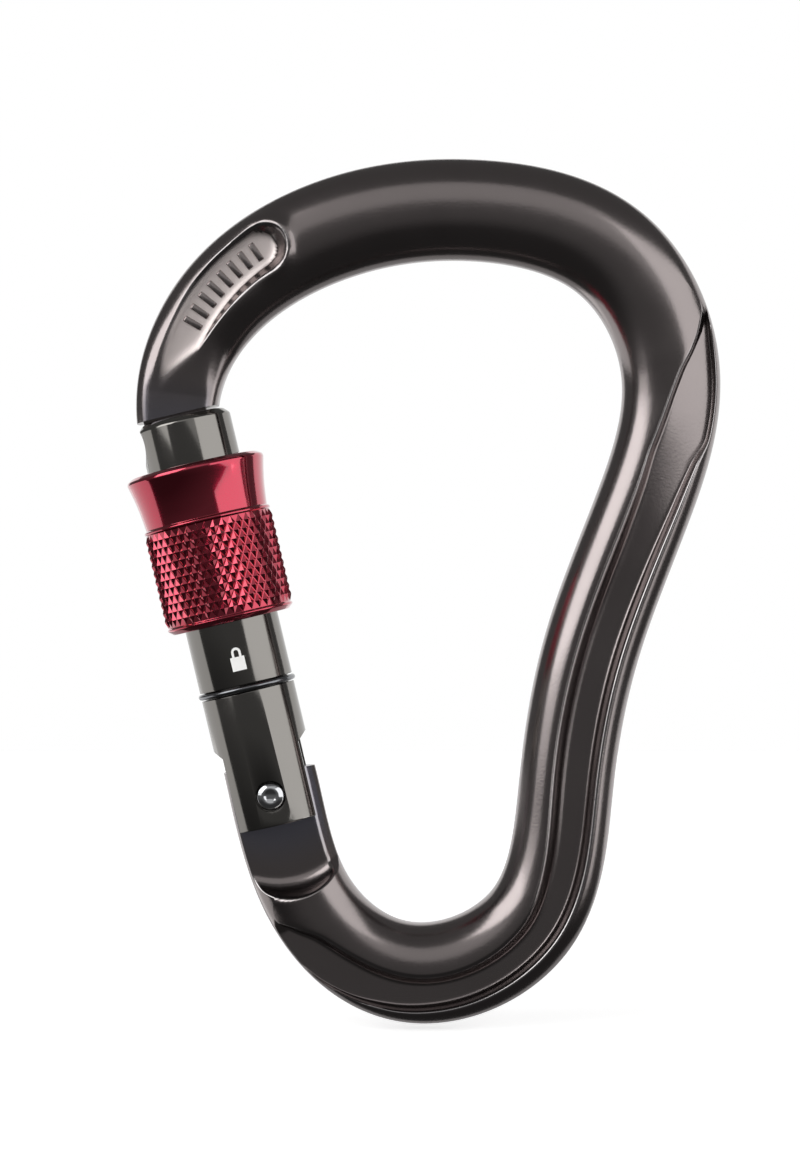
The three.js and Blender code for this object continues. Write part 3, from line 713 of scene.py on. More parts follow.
@dataclass
class ForgedFrame:
    """The forged frame: an oval bar with a groove on each face of the spine, marking panels on
    the nose bow, milled flats at the nose and the hinge, and a key for the gate."""

    place: GatePlace
    path: BarPath
    squareness: float = 2.3
    nose_squareness: float = 3.6
    web: float = 4.5
    # the groove's wall from crest (0) to floor (1): an elliptic arc at each end, straight between
    wall_reach: float = 0.385
    wall_drop: float = 0.227
    wall_arc: float = 0.375
    wall_slope: float = 2.594
    panel_floor: float = 7.0
    panel_lean: float = 0.06
    panel_from: float = 0.3
    panel_to: float = 1.56
    panel_slant: float = 0.72
    panel_sides: tuple[float, float] = (2.6, 6.95)
    panel_wall: float = 1.4
    panel_run_out: float = 0.22
    panel_lip: float = 0.4
    nose_flat: float = 7.2
    nose_flat_reach: float = 5.0
    nose_flat_slope: float = 0.12
    tongue: float = 4.5
    tongue_top: float = 3.15
    tongue_slope: float = 8.0
    pocket_end: float = 10.3
    pocket_bow: float = 10.0
    pocket_fillet: float = 2.6
    pocket_wall: float = 2.35
    tongue_chamfer: float = 1.2
    chamfer_slope: float = 1.4
    shoulder_lean: float = 0.38
    lean_line: float = 2.2
    hole: float = 1.75
    gate_radius: float = 6.0
    gate_length: float = 49.22
    nose_gap: float = 0.4
    key_length: float = 5.2
    key_head: float = 2.3
    key_neck: float = 3.0
    key_inner: float = 3.2
    key_outer: float = 4.9
    # stations before or after which each feature is cut
    nose_zone: float = 1.0
    panel_zone: float = 2.2
    hinge_zone: float = 9.5
    fine_step: float = 0.22
    coarse_step: float = 0.52
    crest_step: float = 0.1

    # station, thickness, then from the outer edge: rim crest, floor's two edges, bead crest; depth
    SECTIONS = (
        (0.0, 7.6, 1.0, 2.0, 6.9, 7.8, 0), (0.4, 7.7, 1.0, 2.0, 6.9, 7.8, 0),
        (1.2, 10.4, 1.0, 2.0, 6.9, 7.8, 0), (2.2, 11.0, 1.0, 2.0, 6.9, 7.8, 0),
        (4.2, 11.2, 0.4, 1.0, 1.8, 3.2, 0), (4.62, 11.2, 0.2, 0.5, 0.8, 1.1, 0),
        (4.72, 11.2, 0.35, 0.75, 1.2, 2.2, 1), (4.85, 11.2, 0.55, 1.15, 2.9, 3.9, 1),
        (5.0, 11.1, 0.65, 1.3, 4.7, 5.9, 1), (5.2, 11.0, 0.65, 1.3, 5.9, 7.3, 1),
        (5.4, 11.0, 0.7, 1.35, 6.4, 8.2, 1), (5.6, 11.0, 1.4, 2.6, 6.7, 8.7, 1),
        (5.85, 11.0, 1.6, 3.2, 6.4, 8.8, 1), (6.4, 11.0, 1.75, 3.7, 5.95, 9.0, 1),
        (7.6, 11.0, 1.8, 3.95, 6.05, 9.0, 1), (8.6, 11.0, 1.9, 3.9, 5.8, 8.5, 1),
        (9.1, 11.1, 1.9, 3.65, 5.3, 7.7, 1), (9.8, 11.2, 1.5, 3.1, 5.0, 7.0, 1),
        (10.1, 11.1, 1.1, 2.5, 4.9, 6.9, 1), (10.35, 11.0, 0.8, 1.4, 4.7, 6.6, 1),
        (10.55, 10.9, 0.35, 0.7, 4.2, 6.0, 1), (10.7, 10.9, 0.2, 0.4, 3.4, 5.2, 1),
        (10.85, 10.8, 0.2, 0.4, 1.6, 3.0, 1),
        (10.95, 10.7, 0.2, 0.5, 0.8, 1.1, 0), (11.3, 10.6, 0.8, 2.0, 3.6, 5.5, 0),
        (12.0, 10.4, 0.8, 2.0, 3.6, 5.5, 0),
    )
    # mesh columns: outer edge to rim, to floor, across it, up to the bead, round to inner edge
    COLUMNS = (13, 11, 14, 11, 22)

    def ring_distances(self) -> np.ndarray:
        """Distances of the mesh's rings along the bar, close together where there is detail."""
        zones = self.path.distance(np.array([1.75, 10.75, 10.94, 11.32]))
        steps = (self.fine_step, self.coarse_step, self.fine_step, self.crest_step, self.fine_step)
        rows = [0.0]
        while rows[-1] < self.path.length:
            rows.append(rows[-1] + steps[int(np.searchsorted(zones, rows[-1]))])
        return np.array(rows) * self.path.length / rows[-1]

    def columns(self, rows: np.ndarray, width: np.ndarray) -> np.ndarray:
        """Distances in from the outer edge of every mesh column, following the groove's lines."""
        rim, floor_from, floor_to, bead = (rows[:, i][:, None] for i in (1, 2, 3, 4))
        parts = []
        lows = (np.zeros_like(rim), rim, floor_from, floor_to, bead)
        highs = (rim, floor_from, floor_to, bead, width[:, None])
        for k, count in enumerate(self.COLUMNS):
            t = np.arange(count)[None, :] / count
            if k == 0:
                t = 1 - np.cos(t * math.pi / 2)
            if k == 4:
                t = np.sin(t * math.pi / 2)
            parts.append(lows[k] + (highs[k] - lows[k]) * t)
        parts.append(width[:, None])
        return np.concatenate(parts, axis=1)

    def oval(
        self, inwards: np.ndarray, width: np.ndarray, thickness: np.ndarray, station: np.ndarray
    ) -> np.ndarray:
        """Half thickness of the plain bar, squarer towards the nose."""
        nose = 1 - smoothstep(0.25, 0.8, station)
        power = self.squareness + (self.nose_squareness - self.squareness) * nose
        off = np.minimum(np.abs(2 * inwards / width - 1), 1)
        return thickness / 2 * np.maximum(1 - off**power, 0) ** (1 / power)

    def grooved(
        self, inwards: np.ndarray, plain: np.ndarray, rows: np.ndarray, station: np.ndarray
    ) -> np.ndarray:
        """Sinks the groove into the plain bar, crisp at its crests and soft at its floor.

        Args:
            inwards: distances in from the outer edge.
            plain: half thickness without the groove.
            rows: the section's rows.
            station: stations along the bar.

        Returns:
            Half thickness with the groove.
        """
        rim, floor_from, floor_to, bead, depth = (rows[:, i][:, None] for i in (1, 2, 3, 4, 5))
        outer_wall = self.wall((inwards - rim) / (floor_from - rim))
        inner_wall = self.wall((bead - inwards) / (bead - floor_to))
        lean = self.shoulder_lean * smoothstep(7.0, 4.85, station)
        sunk = np.minimum(plain, self.web / 2 + lean * (inwards - self.lean_line))
        return plain + (sunk - plain) * outer_wall * inner_wall * depth

    def wall(self, across: np.ndarray) -> np.ndarray:
        """Shape of the groove's wall.

        Args:
            across: 0 at the crest and 1 at the floor's edge.

        Returns:
            Share of the groove's depth, 0 to 1.
        """
        t = np.clip(across, 0, 1)
        end = np.minimum(t, 1 - t)
        reached = np.minimum(end, self.wall_arc) / self.wall_reach
        arc = self.wall_drop * (1 - np.sqrt(1 - reached**2))
        half = np.where(end < self.wall_arc, arc, 0.5 - (0.5 - end) * self.wall_slope)
        return np.where(t < 0.5, half, 1 - half)

    def surface(self) -> tuple[np.ndarray, np.ndarray, dict[str, np.ndarray]]:
        """Works out the front half of the bar's surface.

        Returns:
            Points in the plane, heights over it and the finish masks, all by ring and column.
        """
        walked = self.ring_distances()
        station = self.path.station(walked)
        along = self.path.curve(station)
        outward_ = self.path.outward(station)
        width = along[:, 2]
        rows = between_rows(np.array(self.SECTIONS), station)
        inwards = self.columns(rows, width)
        spot = along[:, None, :2] + outward_[:, None, :] * (width[:, None] / 2 - inwards)[..., None]
        u, s = station[:, None], walked[:, None]
        plain = self.oval(inwards, width[:, None], rows[:, 0][:, None], u)
        height = self.grooved(inwards, plain, rows, u)

        height, milled = self.nose_flats(height, inwards, width[:, None], u, s)
        height, etched = self.marking_panel(height, inwards, u, s)
        height, cut = self.hinge_pocket(height, spot, width[:, None] - inwards, u)
        milled = np.maximum(milled, cut)
        height[:, 0] = 0
        height[:, -1] = 0
        masks = {"milled": milled, "etched": etched, "crest": self.crests(spot, height)}
        return spot, np.maximum(height, 0), masks

    def nose_flats(
        self, height: np.ndarray, inwards: np.ndarray, width: np.ndarray, u: np.ndarray, s: np.ndarray
    ) -> tuple[np.ndarray, np.ndarray]:
        """Mills the flats at the nose.

        Args:
            height: half thickness so far.
            inwards: distances in from the outer edge.
            width: bar widths.
            u: stations.
            s: distances along the bar.

        Returns:
            The new half thickness and the milled finish mask.
        """
        flat = self.nose_flat / 2 + np.maximum(s - self.nose_flat_reach, 0) * self.nose_flat_slope
        from_side = np.minimum(inwards, width - inwards)
        milled = 0.7 * smoothstep(8.5, 1.0, s) * smoothstep(0.6, 1.6, from_side)
        return np.where(u < self.nose_zone, lower_of(height, flat, 0.4), height), milled

    def marking_panel(
        self, height: np.ndarray, inwards: np.ndarray, u: np.ndarray, s: np.ndarray
    ) -> tuple[np.ndarray, np.ndarray]:
        """Sinks the marking panel: round at its upper end, running out slantwise at its lower end.

        Args:
            height: half thickness so far.
            inwards: distances in from the outer edge.
            u: stations.
            s: distances along the bar.

        Returns:
            The new half thickness and the etched finish mask.
        """
        top, low, slant_end = self.path.distance(np.array([self.panel_to, self.panel_from, self.panel_slant]))
        middle = sum(self.panel_sides) / 2
        reach = (self.panel_sides[1] - self.panel_sides[0]) / 2
        out = np.hypot(inwards - middle, np.maximum(s - (top - reach), 0)) - reach
        short = low + (slant_end - low) * (inwards - self.panel_sides[0]) / (2 * reach) - s
        floor = self.panel_floor / 2 + self.panel_lean * (inwards - middle)
        wall = rise_from(0, out, 0.4) * self.panel_wall
        panel = floor + wall + rise_from(0, short, 1.0) * self.panel_run_out
        near = u < self.panel_zone
        etched = np.where(near & (out < 0.05), smoothstep(0.05, 0.3, height - panel), 0)
        lip = self.panel_lip * np.exp(-((out - 1.5) ** 2)) * smoothstep(top - 5, top, s)
        return np.where(near, lower_of(height + lip, panel, 0.3), height), etched

    def hinge_pocket(
        self, height: np.ndarray, spot: np.ndarray, from_edge: np.ndarray, u: np.ndarray
    ) -> tuple[np.ndarray, np.ndarray]:
        """Mills the bull-nosed pocket beside the hinge tongue and chamfers the tongue's inner edge.

        Args:
            height: half thickness so far.
            spot: points in the plane of the frame.
            from_edge: distances from the inner edge.
            u: stations.

        Returns:
            The new half thickness and the milled finish mask.
        """
        away = spot - np.array([self.place.pivot.x, self.place.pivot.z])
        axis = np.array([self.place.axis.x, self.place.axis.z])
        lateral = away @ np.array([axis[1], -axis[0]])
        past = -(away @ axis) - (self.pocket_end - (lateral - 0.5) ** 2 / (2 * self.pocket_bow))
        fillet = self.pocket_fillet
        arc = 0.92 * fillet
        curve = fillet - np.sqrt(fillet**2 - np.clip(past, 0, arc) ** 2)
        pocket = self.tongue / 2 + curve + np.maximum(past - arc, 0) * self.pocket_wall
        near = u > self.hinge_zone
        milled = np.where(near, smoothstep(0.0, 0.1, height - pocket), 0) * smoothstep(0.2, -6.0, past)
        height = np.where(near, lower_of(height, pocket, 0.5), height)
        bevel = self.tongue / 2 + (from_edge - self.tongue_chamfer) * self.chamfer_slope
        bevel = bevel + np.maximum(past - 0.8, 0) * 0.9
        return np.where(near, lower_of(height, bevel, 0.3), height), milled

    def crests(self, spot: np.ndarray, height: np.ndarray) -> np.ndarray:
        """Finds how sharply the surface crests, where the finish wears first."""
        across = np.zeros_like(height)
        gap = np.linalg.norm(np.diff(spot, axis=1), axis=2) + 1e-6
        slope = np.arctan2(np.diff(height, axis=1), gap)
        run = (gap[:, 1:] + gap[:, :-1]) / 2
        across[:, 1:-1] = (slope[:, :-1] - slope[:, 1:]) / np.maximum(run, 0.12)
        lengthwise = np.zeros_like(height)
        step = np.linalg.norm(np.diff(spot, axis=0), axis=2) + 1e-6
        climb = np.arctan2(np.diff(height, axis=0), step)
        lengthwise[1:-1] = (climb[:-1] - climb[1:]) / np.maximum((step[1:] + step[:-1]) / 2, 0.2)
        return smoothstep(0.9, 3.0, np.maximum(across, lengthwise))

    def bar(self) -> tuple[bpy.types.Mesh, np.ndarray, dict[str, np.ndarray]]:
        """Makes the whole bar as a closed mesh.

        Returns:
            The mesh in millimetres, its points and the finish masks for each point.
        """
        spot, height, masks = self.surface()
        rings, count = height.shape
        back = slice(count - 2, 0, -1)
        plane = np.concatenate([spot, spot[:, back]], axis=1)
        lift = np.concatenate([height * FRONT, height[:, back] * BACK], axis=1)
        points = np.stack([plane[..., 0], lift, plane[..., 1]], axis=2)
        size = points.shape[1]
        index = np.arange(rings * size).reshape(rings, size)
        low, high = index[:-1], index[1:]
        quads = np.stack([low, np.roll(low, -1, 1), np.roll(high, -1, 1), high], axis=2).reshape(-1, 4)
        faces = [tuple(f) for f in quads.tolist()]
        faces += [tuple(reversed(index[0].tolist())), tuple(index[-1].tolist())]
        flat = points.reshape(-1, 3)
        spread = {k: np.concatenate([m, m[:, back]], axis=1).reshape(-1) for k, m in masks.items()}
        return outward(mesh_of(flat, faces)), flat, spread

    def key_outline(self, nose: float, grow: float = 0) -> list[tuple[float, float]]:
        """The key's profile across the thickness: a round head on a neck."""
        radius = self.key_head + grow
        neck = self.key_neck / 2 + grow
        centre = nose - self.key_length + self.key_head
        lift = math.asin(neck / radius)
        turns = np.linspace(math.pi / 2 + lift, 2.5 * math.pi - lift, 40)
        head = [(radius * math.cos(a), centre + radius * math.sin(a)) for a in turns]
        return [(neck, nose + 1), (-neck, nose + 1), *head]

    def key(self, nose: float, grow: float, inner: float, outer: float) -> bpy.types.Mesh:
        """The key's solid in the gate's frame, across the gate from -outer to inner."""
        prism = extruded(self.key_outline(nose, grow), -inner, outer)
        return placed(prism, Matrix.Rotation(math.radians(90), 4, "Z"))

    def build(self) -> bpy.types.Mesh:
        """Makes the frame's mesh in millimetres, with its finish masks."""
        bar, points, masks = self.bar()
        here = self.place.millimetres()
        nose = self.gate_length + self.nose_gap
        far = 2 * self.gate_radius
        below_nose = placed(box_of((-far, -far, self.gate_length / 2), (far, far, nose)), here)
        key = placed(self.key(nose, 0, self.key_inner, self.key_outer), here)
        fall = far * math.tan(math.radians(self.tongue_slope))
        above = [(-far, self.tongue_top + fall), (far, self.tongue_top - fall), (far, far), (-far, far)]
        top = placed(extruded(above, -far, far), here)
        drill = placed(turned([(0, -far), (self.hole, -far), (self.hole, far), (0, far)], 48),
                       here @ Matrix.Rotation(math.radians(90), 4, "X"))
        mesh = carved(bar, [(below_nose, Cut.AWAY), (key, Cut.JOIN), (top, Cut.AWAY), (drill, Cut.AWAY)])
        self.spread_masks(mesh, points, masks)
        return mesh

    def spread_masks(self, mesh: bpy.types.Mesh, points: np.ndarray, masks: dict[str, np.ndarray]) -> None:
        """Gives each point of the finished mesh the masks of the nearest point of the bar."""
        tree = KDTree(len(points))
        for i, point in enumerate(points):
            tree.insert(point, i)
        tree.balance()
        nearest = [tree.find(vertex.co)[1] for vertex in mesh.vertices]
        for key, values in masks.items():
            layer = mesh.attributes.new(key, "FLOAT", "POINT")
            layer.data.foreach_set("value", values[nearest].astype(np.float32))

    def make(self, material: bpy.types.Material) -> None:
        """Builds and dresses the frame."""
        mesh = placed(self.build(), Matrix.Scale(MM, 4))
        finished("forged_frame", mesh, material, "frame", "frame_body", crease=50)


@dataclass
class PanelBars:
    """The rows of plain raised bars in the two marking panels."""

    frame_shape: ForgedFrame
    count: int = 8
    first: float = 0.78
    last: float = 1.42
    long: float = 3.1
    wide: float = 0.95
    proud: float = 0.38
    sunk: float = 0.4
    taper: float = 0.72

    def route(self) -> bpy.types.Mesh:
        """The middle line of both panels' floors, with each floor's outward direction."""
        path = self.frame_shape.path
        station = np.linspace(self.first, self.last, 24)
        along = path.curve(station)
        side = path.outward(station)
        middle = sum(self.frame_shape.panel_sides) / 2
        spot = along[:, :2] + side * (along[:, 2] / 2 - middle)[:, None]
        points, edges, lifts, sides = [], [], [], []
        for face in (FRONT, BACK):
            first = len(points)
            for (x, z), out in zip(spot, side):
                lean = self.frame_shape.panel_lean
                points.append((x, face * self.frame_shape.panel_floor / 2, z))
                lifts.append(Vector((out[0] * lean, face, out[1] * lean)).normalized())
                sides.append((out[0], 0, out[1]))
            edges += [(first + i, first + i + 1) for i in range(len(spot) - 1)]
        mesh = bpy.data.meshes.new("panel_route")
        mesh.from_pydata(points, edges, [])
        for name, values in (("lift", lifts), ("side", sides)):
            layer = mesh.attributes.new(name, "FLOAT_VECTOR", "POINT")
            layer.data.foreach_set("vector", np.array(values, np.float32).reshape(-1))
        return mesh

    def tree(self) -> bpy.types.NodeTree:
        """Node tree that sets a tapered bar at even steps along each route."""
        tree, given = new_tree("bars_along_route", {
            "Route": "Geometry", "Count": "Int", "Long": "Float",
            "Wide": "Float", "Height": "Float", "Sunk": "Float",
            "Taper": "Float", "Finish": "Material",
        })
        curve = add_node(tree, "GeometryNodeMeshToCurve", inputs={"Mesh": given["Route"]})
        even = add_node(tree, "GeometryNodeResampleCurve", {"mode": "COUNT"}, {
            "Curve": curve.outputs["Curve"], "Count": given["Count"],
        })
        blank = add_node(tree, "GeometryNodeMeshCone", {"fill_type": "NGON"}, {
            "Vertices": 4, "Radius Top": given["Taper"], "Radius Bottom": 1.0, "Depth": given["Height"],
        })
        squared = add_node(tree, "GeometryNodeTransform", inputs={
            "Geometry": blank.outputs["Mesh"], "Rotation": (0, 0, math.pi / 4),
        })
        scaled = {}
        for port, factor in (("Long", math.sqrt(2)), ("Wide", math.sqrt(2)), ("Sunk", -1.0)):
            product = add_node(tree, "ShaderNodeMath", {"operation": "MULTIPLY"}, {0: given[port], 1: factor})
            scaled[port] = product.outputs[0]
        scale = add_node(tree, "ShaderNodeCombineXYZ", inputs={
            "X": scaled["Wide"], "Y": scaled["Long"], "Z": 1.0,
        })
        lower = add_node(tree, "ShaderNodeCombineXYZ", inputs={"Z": scaled["Sunk"]})
        bar = add_node(tree, "GeometryNodeTransform", inputs={
            "Geometry": squared.outputs["Geometry"], "Translation": lower.outputs[0],
            "Scale": scale.outputs[0],
        })
        vector = {"data_type": "FLOAT_VECTOR"}
        lift = add_node(tree, "GeometryNodeInputNamedAttribute", vector, {"Name": "lift"})
        side = add_node(tree, "GeometryNodeInputNamedAttribute", vector, {"Name": "side"})
        turn = add_node(tree, "FunctionNodeAxesToRotation", {"primary_axis": "Z", "secondary_axis": "Y"}, {
            "Primary Axis": lift.outputs["Attribute"], "Secondary Axis": side.outputs["Attribute"],
        })
        bars = add_node(tree, "GeometryNodeInstanceOnPoints", inputs={
            "Points": even.outputs["Curve"], "Instance": bar.outputs["Geometry"],
            "Rotation": turn.outputs["Rotation"],
        })
        real = add_node(tree, "GeometryNodeRealizeInstances", inputs={"Geometry": bars.outputs["Instances"]})
        done = add_node(tree, "GeometryNodeSetMaterial", inputs={
            "Geometry": real.outputs["Geometry"], "Material": given["Finish"],
        })
        add_node(tree, "NodeGroupOutput", inputs={0: done.outputs["Geometry"]})
        return tree

    def make(self, material: bpy.types.Material) -> None:
        """Builds and dresses the bars."""
        mesh = grown(self.route(), self.tree(), {
            "Count": self.count, "Long": self.long / 2, "Wide": self.wide / 2,
            "Height": self.proud + self.sunk, "Sunk": self.sunk, "Taper": self.taper,
            "Finish": material,
        })
        mesh = bevelled(mesh, 0.09)
        finished("panel_bars", placed(mesh, Matrix.Scale(MM, 4)), material, "frame")


def grown(base: bpy.types.Mesh, tree: bpy.types.NodeTree, sizes: dict) -> bpy.types.Mesh:
    """Runs a node tree on a mesh.

    Args:
        base: the mesh the tree starts from.
        tree: the node tree.
        sizes: its inputs by name.

    Returns:
        The plain mesh it makes.
    """
    made = object_of("seed", base)
    modifier = made.modifiers.new("grow", "NODES")
    modifier.node_group = tree
    keys = {item.name: item.identifier for item in tree.interface.items_tree if item.in_out == "INPUT"}
    for name, value in sizes.items():
        modifier[keys[name]] = value
    return evaluated(made)


# ---- The gate ----
@dataclass
class BarrelGate:
    """The round gate: two ears over the hinge tongue, a blind bore for the spring, a groove for
    the stop ring, a thread for the sleeve and a socket for the frame's key."""

    place: GatePlace
    frame_shape: ForgedFrame
    radius: float = 6.0
    length: float = 49.22
    end_chamfer: float = 0.7
    ear_width: float = 9.8
    ear_below: float = 3.8
    shoulder: float = 7.0
    shoulder_root: float = 1.2
    shoulder_rise: float = 1.0
    slot: float = 5.2
    slot_top: float = 6.3
    bore: float = 2.5
    bore_top: float = 26.0
    rivet_hole: float = 1.75
    head_seat: float = 4.95
    head_hole: float = 1.95
    key_clearance: float = 0.4
    ring_height: float = 13.9
    ring_root: float = 5.45
    ring_half: float = 0.5
    edge_break: float = 0.2
    thread_pitch: float = 2.0
    thread_root: float = 5.45
    thread_tip_width: float = 0.8
    thread_mouth_width: float = 1.4
    thread_from: float = 22.85
    thread_to: float = 43.26

    def blank(self) -> bpy.types.Mesh:
        """The turned barrel with its end chamfer and ring groove."""
        groove = self.ring_height
        return turned(eased([
            (0, -self.ear_below, 0), (self.radius, -self.ear_below, 0.2),
            (self.radius, groove - self.ring_half, 0.1), (self.ring_root, groove - self.ring_half, 0.1),
            (self.ring_root, groove + self.ring_half, 0.1), (self.radius, groove + self.ring_half, 0.1),
            (self.radius, self.length - self.end_chamfer, 0.2),
            (self.radius - self.end_chamfer, self.length, 0.2), (0, self.length, 0),
        ], 3), 144)

    def build(self) -> bpy.types.Mesh:
        """Makes the gate's mesh in its own frame."""
        wide = 2 * self.radius
        ear = self.ear_width / 2
        tools = []
        for side in (-1, 1):
            relief = [
                (side * ear, -wide), (side * wide, -wide), (side * wide, self.shoulder + self.shoulder_rise),
                (side * (ear + self.shoulder_root), self.shoulder),
                (side * ear, self.shoulder - self.shoulder_root),
            ]
            tools.append((extruded(relief, -wide, wide), Cut.AWAY))
        tools.append((box_of((-wide, -self.slot / 2, -wide), (wide, self.slot / 2, self.slot_top)), Cut.AWAY))
        quarter = Matrix.Rotation(math.radians(90), 4, "X")
        drill = turned([(0, -wide), (self.rivet_hole, -wide), (self.rivet_hole, wide), (0, wide)], 48)
        tools.append((placed(drill, quarter), Cut.AWAY))
        for side in (-1, 1):
            seat = sorted((side * self.head_seat, side * wide))
            room = turned([
                (0, seat[0]), (self.head_hole, seat[0]), (self.head_hole, seat[1]), (0, seat[1]),
            ], 48)
            tools.append((placed(room, quarter), Cut.AWAY))
        nose = self.length + self.frame_shape.nose_gap
        inner = self.frame_shape.key_inner + self.key_clearance
        tools.append((self.frame_shape.key(nose, self.key_clearance, inner, wide), Cut.AWAY))
        body = bevelled(carved(self.blank(), tools), self.edge_break)
        bore = turned([(0, 0), (self.bore, 0), (self.bore, self.bore_top), (0, self.bore_top + 0.8)], 64)
        return carved(body, [(self.thread(), Cut.AWAY), (bore, Cut.AWAY)])

    def thread(self) -> bpy.types.Mesh:
        """The solid that cuts the thread, fading out at both ends."""
        return ridge(Thread(
            self.thread_pitch, self.thread_from, self.thread_to, self.thread_root,
            self.thread_tip_width, self.radius + 0.3, self.thread_mouth_width,
        ), phase=SleeveSizes().middle)

    def make(self, material: bpy.types.Material) -> None:
        """Builds and dresses the gate."""
        mesh = placed(self.build(), self.place.matrix())
        finished("barrel_gate", mesh, material, "gate", "gate_barrel")


@dataclass(frozen=True)
class Thread:
    """A ridge that winds round Z: where it runs, and its radius and width at tip and base."""

    pitch: float
    start: float
    end: float
    tip_radius: float
    tip_width: float
    base_radius: float
    base_width: float


def ridge(thread: Thread, phase: float = 0, sides: int = 48) -> bpy.types.Mesh:
    """Makes the solid of a thread.

    Args:
        thread: its sizes.
        phase: the height at which it points along X.
        sides: steps in each turn.

    Returns:
        The closed solid.
    """
    steps = round((thread.end - thread.start) / thread.pitch * sides)
    height = np.linspace(thread.start, thread.end, steps + 1)
    angle = (height - phase) / thread.pitch * 2 * math.pi
    ends = np.minimum(np.arange(steps + 1), steps - np.arange(steps + 1)) + 0.5
    tip = thread.base_radius + (thread.tip_radius - thread.base_radius) * smoothstep(0, sides / 3, ends)
    corners = (
        (tip, -thread.tip_width / 2), (tip, thread.tip_width / 2),
        (np.full_like(tip, thread.base_radius), thread.base_width / 2),
        (np.full_like(tip, thread.base_radius), -thread.base_width / 2),
    )
    points = np.stack([
        np.stack([radius * np.cos(angle), radius * np.sin(angle), height + rise], axis=1)
        for radius, rise in corners
    ], axis=1).reshape(-1, 3)
    faces = [(0, 1, 2, 3), tuple(4 * steps + i for i in (3, 2, 1, 0))]
    for i in range(steps):
        a, b = 4 * i, 4 * (i + 1)
        faces += [(a + j, b + j, b + (j + 1) % 4, a + (j + 1) % 4) for j in range(4)]
    return outward(mesh_of(points, faces))


# ---- The sleeve ----
@dataclass(frozen=True)
class SleeveSizes:
    """Sizes of the screw sleeve, in its own frame with Z = 0 at its middle."""

    middle: float = 32.67  # above the hinge rivet
    length: float = 20.5
    bore: float = 6.3
    grip: float = 8.25
    flare: float = 8.9
    waist: float = 8.0
    flare_sag: float = 0.2
    flare_length: float = 6.9
    plain_band: float = 0.75  # chamfered ring below the knurl
    neck: float = 0.45  # between the knurl and the flare
    nose_bore: float = 6.9
    nose_bore_depth: float = 4.6
    ring_below: float = 6.0
    ring_room: float = 0.9
    ring_seat: float = 7.3
    knurl_columns: int = 44
    knurl_rows: int = 11
    knurl_depth: float = 0.29


